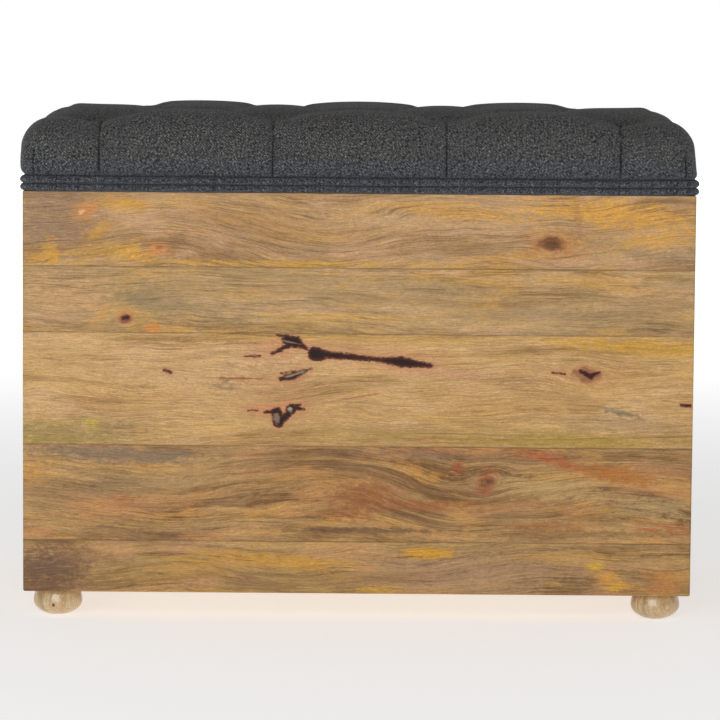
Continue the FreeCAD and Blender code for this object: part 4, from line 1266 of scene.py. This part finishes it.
def woodMaterial(name, look, seed, turned="x", face=0.0, joints=()):
    # turned says which way the board runs; face is the board's outer face, where its patches are strongest;
    # joints are the heights at which it is glued to its neighbours
    c = woodGrain
    look = {**plainBoard, **look}
    pale, deep = look["pale"], look["deep"]
    material, nodes = newMaterial(name)
    x, y, z = nodes.parts(nodes.scaled(nodes.place(), 1000, 1000, 1000))
    along, depth = {"x": (x, y), "y": (y, x), "z": (z, y)}[turned]
    across = x if turned == "z" else z
    inward = nodes.math("ABSOLUTE", nodes.minus(depth, face * 1000))
    wood = nodes.joined(along, across, inward)
    shift = (seed * 613.0, seed * 97.0, seed * 31.0)
    moved = nodes.vector("ADD", wood, shift)

    def noises(vector, *names):
        for key in names:
            scale, octaves, roughness = c[key]
            yield nodes.noise(nodes.scaled(vector, *scale), 1.0, octaves, roughness)

    bend, ripple, mottle, pores, rough = noises(moved, "bend", "ripple", "mottle", "pores", "rough")
    lifted = nodes.swing(across, bend, 0.25, 0.75, c["bendReach"])
    lifted = nodes.swing(lifted, ripple, 0.25, 0.75, c["rippleReach"])
    distances = []
    for kx, kz, kLong, kHigh, tilt, _ in look["knots"]:
        distances.append(nodes.within(wood, kx, kz, kLong, kHigh, c["featureDepth"], tilt))
        # the grain opens round a knot
        rate, opening = c["knotOpening"]
        push = nodes.times(nodes.minus(across, kz), nodes.times(nodes.bell(distances[-1], rate), -opening))
        lifted = nodes.plus(lifted, push)
    for fx, fz, fLong, fHigh, slope in look["flows"]:
        # here the grain runs at a slant, down to the right where the slope is positive
        near = nodes.bell(nodes.within(wood, fx, fz, fLong, fHigh, c["featureDepth"]), 1.0)
        lifted = nodes.plus(lifted, nodes.times(nodes.minus(along, fx), nodes.times(near, slope)))
    grain = nodes.vector("ADD", nodes.joined(along, lifted, inward), shift)
    pithHeight, pithDepth = look["pith"]
    fromPith = nodes.joined(nodes.minus(lifted, pithHeight), nodes.plus(inward, pithDepth), 0.0)
    ring = nodes.plus(nodes.vector("LENGTH", fromPith, output=1), nodes.times(along, look["taper"]))
    ringPlace = nodes.joined(nodes.times(along, 0.0016), ring, seed * 5.7)
    broad, rings, streaks = noises(ringPlace, "broad", "rings", "streaks")
    names = ("strokes", "fibre", "speckle", "hue", "cloud", "blush", "lines")
    strokes, fibre, speckle, hue, cloud, blush, lines = noises(grain, *names)

    share = nodes.ranged(broad, 0.35, 0.65, -0.1, look["drift"] + 0.1, False)
    share = nodes.plus(share, nodes.ranged(rings, 0.35, 0.68, -0.14, 0.38, False))
    share = nodes.plus(share, nodes.ranged(cloud, 0.34, 0.66, -0.5, 0.5, False), clamp=True)
    colour = nodes.mix(share, rgb(*pale), rgb(*deep))

    def tinted(texture, low, high, near, far, tint, thinner=None):
        # one more colour over those so far; a second noise may thin it out
        share = nodes.ranged(texture, low, high, near, far)
        if thinner:
            share = nodes.times(share, nodes.ranged(*thinner))
        return nodes.mix(share, colour, rgb(*tint))

    colour = tinted(hue, 0.50, 0.62, 0, 0.62, look["warm"])
    colour = tinted(hue, 0.36, 0.49, 0.6, 0, look["cool"])
    colour = tinted(blush, 0.50, 0.62, 0, 0.55, look["blush"])
    edge = nodes.ranged(streaks, 0.3, 0.7, -0.34, 0.34, False)
    for texture, reach in ((ripple, 0.3), (rings, 0.25), (mottle, 0.62)):
        edge = nodes.swing(edge, texture, 0.3, 0.7, reach)

    def layer(px, pz, pLong, pHigh, tilt, tint, strength):
        # a patch with a ragged edge
        reach = nodes.plus(nodes.within(wood, px, pz, pLong, pHigh, c["patchDepth"], tilt), edge)
        return nodes.mix(nodes.ranged(reach, 0.28, 1.34, min(1.12 * strength, 1.0), 0.0), colour, rgb(*tint))

    for item in look["patches"]:
        colour = layer(*item)
    colour = tinted(streaks, 0.53, 0.70, 0, 0.6, shade(deep, 0.74), (cloud, 0.35, 0.6, 0.4, 1.0))
    colour = tinted(strokes, 0.56, 0.70, 0, look["stroked"], shade(deep, 0.70), (hue, 0.35, 0.6, 1.0, 0.4))
    colour = tinted(streaks, 0.30, 0.46, 0.4, 0.0, shade(pale, 1.13))
    colour = tinted(strokes, 0.30, 0.42, 0.25, 0.0, shade(pale, 1.10))
    colour = tinted(lines, 0.57, 0.66, 0, look["lined"], shade(deep, 0.66), (cloud, 0.35, 0.6, 0.5, 1.0))
    pore = nodes.ranged(pores, 0.66, 0.73, 0, 0.55)
    colour = nodes.mix(pore, colour, c["poreColour"])
    colour = nodes.dimmed(colour, nodes.ranged(fibre, 0.28, 0.72, 0.73, 1.29, False))
    colour = nodes.dimmed(colour, nodes.ranged(speckle, 0.30, 0.70, 0.82, 1.18, False))

    wobble = nodes.ranged(rough, 0.25, 0.75, -0.42, 0.42, False)
    for distance, item in zip(distances, look["knots"]):
        ramp = nodes.tree.nodes.new("ShaderNodeValToRGB")
        stops = ramp.color_ramp.elements
        while len(stops) < len(c["knotStops"]):
            stops.new(0.5)
        for stop, (place, tint, alpha) in zip(stops, c["knotStops"]):
            stop.position = place
            stop.color = (*rgb(*tint)[:3], alpha)
        nodes.put(ramp.inputs[0], nodes.times(nodes.plus(distance, wobble), 0.72))
        colour = nodes.mix(nodes.times(ramp.outputs[1], item[5]), colour, ramp.outputs[0])
    # cracks are only painted, with no depth: their dark core and rim are partly the split wood's own colour
    # and partly painted shade for the gap
    nearest = None
    for x0, z0, r0, x1, z1, r1 in look["cracks"]:
        # how near the point is to a tapered stroke between the two ends
        fromStart = nodes.vector("SUBTRACT", nodes.joined(along, across, 0.0), (x0, z0, 0))
        run = (x1 - x0, z1 - z0, 0)
        t = nodes.vector("DOT_PRODUCT", fromStart, run, 1)
        t = nodes.math("DIVIDE", t, run[0] ** 2 + run[1] ** 2, clamp=True)
        foot = nodes.scaled(nodes.joined(t, t, 0.0), *run)
        off = nodes.vector("LENGTH", nodes.vector("SUBTRACT", fromStart, foot), output=1)
        off = nodes.minus(off, nodes.ranged(t, 0, 1, r0, r1, False))
        nearest = off if nearest is None else nodes.math("SMOOTH_MIN", nearest, off, 1.2)
    if nearest is not None:
        off = nodes.swing(nearest, *noises(moved, "jag"), 0.3, 0.7, 1.5)
        deepest = nodes.ranged(inward, 0, c["crackDepth"], 1, 0)
        # painted shade: darkest deep in the gap, with the split wood's colour near its edge
        crackGapShade = nodes.mix(nodes.ranged(off, -3.6, -0.6), c["crackColour"], c["crackGrain"])
        for start, end, strength, tint in ((0.2, 6.0, 0.34, c["crackHalo"]), (-0.2, 1.5, 0.85, c["crackRim"]),
                                           (-0.9, 0.4, 1, crackGapShade)):
            colour = nodes.mix(nodes.times(nodes.ranged(off, start, end, strength, 0), deepest), colour, tint)
    for item in look["marks"]:
        colour = layer(*item)
    for joint in joints:
        off = nodes.math("ABSOLUTE", nodes.minus(across, joint))
        colour = tinted(off, 0.35, 1.1, 0.55, 0.0, shade(deep, 0.62), (hue, 0.35, 0.6, 0.3, 1.0))
    height = nodes.minus(fibre, nodes.times(pore, 1.5))
    roughness = nodes.ranged(rough, 0.3, 0.7, *look["roughness"])
    finishMaterial(nodes, colour, nodes.bump(height, c["relief"], 0.8), Roughness=roughness,
                   Specular_IOR_Level=look["shine"])
    return material


def pineMaterial():
    # plain softwood for the pieces inside: straight pale rings
    material, nodes = newMaterial("rawPine")
    place = nodes.scaled(nodes.place(), 1000, 1000, 1000)
    bent = nodes.vector("ADD", place, nodes.scaled(nodes.noise(place, 0.012, 2, colour=True), 9, 9, 9))
    _, y, z = nodes.parts(bent)
    ring = nodes.math("FRACT", nodes.times(nodes.vector("LENGTH", nodes.joined(y, z, 0.0), output=1), 0.28))
    late = nodes.ranged(ring, 0.55, 0.95)
    fibres = nodes.noise(nodes.scaled(place, 0.06, 2.0, 2.0), 1.0, 3)
    colour = nodes.mix(nodes.times(late, 0.7), rgb(214, 184, 138), rgb(176, 128, 78))
    colour = nodes.mix(nodes.ranged(fibres, 0.4, 0.75, 0, 0.25), colour, rgb(150, 110, 70))
    finishMaterial(nodes, colour, nodes.bump(fibres, 0.15 * mm, 0.5), Roughness=0.75, Specular_IOR_Level=0.3)
    return material


def plywoodMaterial():
    # broad peeled grain on the faces, layers on the edges
    material, nodes = newMaterial("plywood")
    place = nodes.scaled(nodes.place(), 1000, 1000, 1000)
    _, _, upFace = nodes.parts(nodes.add("ShaderNodeNewGeometry", output="Normal"))
    _, _, z = nodes.parts(place)
    layers = nodes.math("FRACT", nodes.times(z, 0.25))
    crossed = nodes.ranged(nodes.math("ABSOLUTE", nodes.minus(layers, 0.5)), 0.23, 0.27)
    figure = nodes.noise(nodes.scaled(place, 0.004, 0.05, 0.05), 1.0, 5, 0.7)
    fibres = nodes.noise(nodes.scaled(place, 0.05, 1.6, 1.6), 1.0, 3)
    face = nodes.mix(nodes.ranged(figure, 0.35, 0.68), rgb(214, 188, 146), rgb(182, 146, 100))
    face = nodes.mix(nodes.ranged(fibres, 0.4, 0.75, 0, 0.3), face, rgb(158, 122, 80))
    side = nodes.mix(crossed, rgb(196, 162, 114), rgb(142, 102, 66))
    side = nodes.mix(nodes.ranged(nodes.noise(place, 1.1, 3), 0.4, 0.7, 0, 0.4), side, rgb(118, 84, 54))
    colour = nodes.mix(nodes.ranged(nodes.math("ABSOLUTE", upFace), 0.4, 0.6), side, face)
    finishMaterial(nodes, colour, nodes.bump(fibres, 0.12 * mm, 0.5), Roughness=0.7, Specular_IOR_Level=0.3)
    return material


def metalMaterial(name, tone, worn, roughness, metal=1.0):
    material, nodes = newMaterial(name)
    place = nodes.place()
    cloud = nodes.noise(place, 60, 4)
    brushed = nodes.noise(nodes.scaled(place, 90, 1400, 1400), 1.0, 3)
    spots = nodes.ranged(nodes.noise(place, 420, 4, 0.7), 0.58, 0.74)
    colour = nodes.mix(nodes.ranged(cloud, 0.3, 0.75, 0, 0.6), rgb(*tone), rgb(*worn))
    colour = nodes.mix(nodes.times(spots, 0.35), colour, rgb(*(v * 0.55 for v in worn)))
    rough = nodes.ranged(brushed, 0.3, 0.7, roughness - 0.06, roughness + 0.08)
    rough = nodes.plus(rough, nodes.times(spots, 0.15))
    finishMaterial(nodes, colour, nodes.bump(brushed, 0.03 * mm, 0.5), Roughness=rough, Metallic=metal)
    return material


def plasticMaterial():
    material, nodes = newMaterial("mattePlastic")
    place = nodes.place()
    grain = nodes.add("ShaderNodeTexVoronoi", {"Vector": place, "Scale": 1500.0})
    cloud = nodes.noise(place, 45, 3)
    colour = nodes.mix(nodes.ranged(cloud, 0.3, 0.7), rgb(38, 38, 40), rgb(52, 52, 54))
    rough = nodes.ranged(cloud, 0.3, 0.7, 0.42, 0.58)
    finishMaterial(nodes, colour, nodes.bump(grain, 0.05 * mm, 0.5), Roughness=rough)
    return material


# finishes onto the pieces
def dressNode(name, material):
    for slot in frame["nodes"][name].material_slots:
        slot.material = material


def settle(piece, body, replaced=()):
    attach(piece, body)
    if replaced:
        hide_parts(*replaced)


steel = metalMaterial("zincSteel", (178, 180, 182), (140, 142, 146), 0.36)
brass = metalMaterial("antiqueBrass", (176, 142, 84), (112, 86, 50), 0.34)
nickel = metalMaterial("nickelSteel", (186, 184, 178), (150, 148, 142), 0.26)
plastic, pine, plywood = plasticMaterial(), pineMaterial(), plywoodMaterial()
twine = fibreMaterial("waxedTwine", rgb(206, 196, 172), rgb(150, 138, 112), 1600.0, 0.3 * mm, 0.7)
coverCloth = clothMaterial("coverTweed", shade=0.62, pleats=True, contrast=0.42)
pipingCloth = clothMaterial("pipingTweed", shade=0.62, blue=1.0, fleckShare=0.7, contrast=0.5)
buttonCloth = clothMaterial("buttonTweed", shade=0.70)
bySlot = {"inner_wood": pine, "plywood": plywood, "zinc_steel": steel, "hinge_brass": brass,
          "stay_steel": nickel, "stay_plastic": plastic, "twine": twine}

settle(upperWelt, "lid", ["piping_upper"])
settle(lowerWelt, "lid", ["piping_lower"])
for welt in (upperWelt, lowerWelt):
    dress(welt, pipingCloth)

cover, wadding, foam = makeCushion()
settle(cover, "lid", ["cushion_cover"])
settle(wadding, "lid", ["wadding"])
settle(foam, "lid", ["foam_block"])
dress(cover, coverCloth)
dress(wadding, fibreMaterial("polyesterWadding", rgb(238, 238, 236), rgb(206, 207, 208), 900.0, 0.6 * mm))
dress(foam, foamMaterial())

coveredButtons = makeButtons(buttonCloth)
settle(coveredButtons, "lid", ["buttons"])
liningCloth = makeLining()
dress(liningCloth, liningMaterial())
settle(liningCloth, "lid", ["lid_lining"])
low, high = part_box("lid_lining")
staples = makeLiningStaples(steel)
settle(staples, "lid")
print("soft pieces placed")

# which way each side's boards run, and where their outer face is
boardSides = {"front": ("x", -boxHalfY), "back": ("x", boxHalfY),
              "left": ("y", -boxHalfX), "right": ("y", boxHalfX)}
seed = 0
for part in frame["record"]["subparts"]:
    name, slot = part["node"], part["material_slot"]
    low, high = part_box(name)
    if slot in bySlot:
        dressNode(name, bySlot[slot])
    elif slot == "box_wood":
        seed += 1
        turned, face = boardSides[name.split("_")[0]]
        reach = boxHalfX if turned == "x" else boxHalfY
        look = frontBoards.get(name) or inventedBoard(seed, low.z / mm, high.z / mm, reach / mm)
        joints = [z / mm for z in (low.z, high.z) if boxFoot + mm < z < boxTop - mm]
        dressNode(name, woodMaterial(name + "_wood", look, seed, turned, face, joints))
    elif slot == "foot_wood":
        seed += 1
        middle = (low.x + high.x) / 2 / mm
        look = {**turnedFoot, "pith": (middle + 30, 30)}
        look["patches"] = [(14, middle + 6, 14, 4, 0, (186, 150, 96), 0.5)]
        if name == "foot_front_left":
            look["knots"] = [(12, middle - 2.4, 2.0, 1.6, 0, 1.0)]
        face = low.y if "front" in name else high.y
        dressNode(name, woodMaterial(name + "_wood", look, seed, "z", face))
print("finishes on")
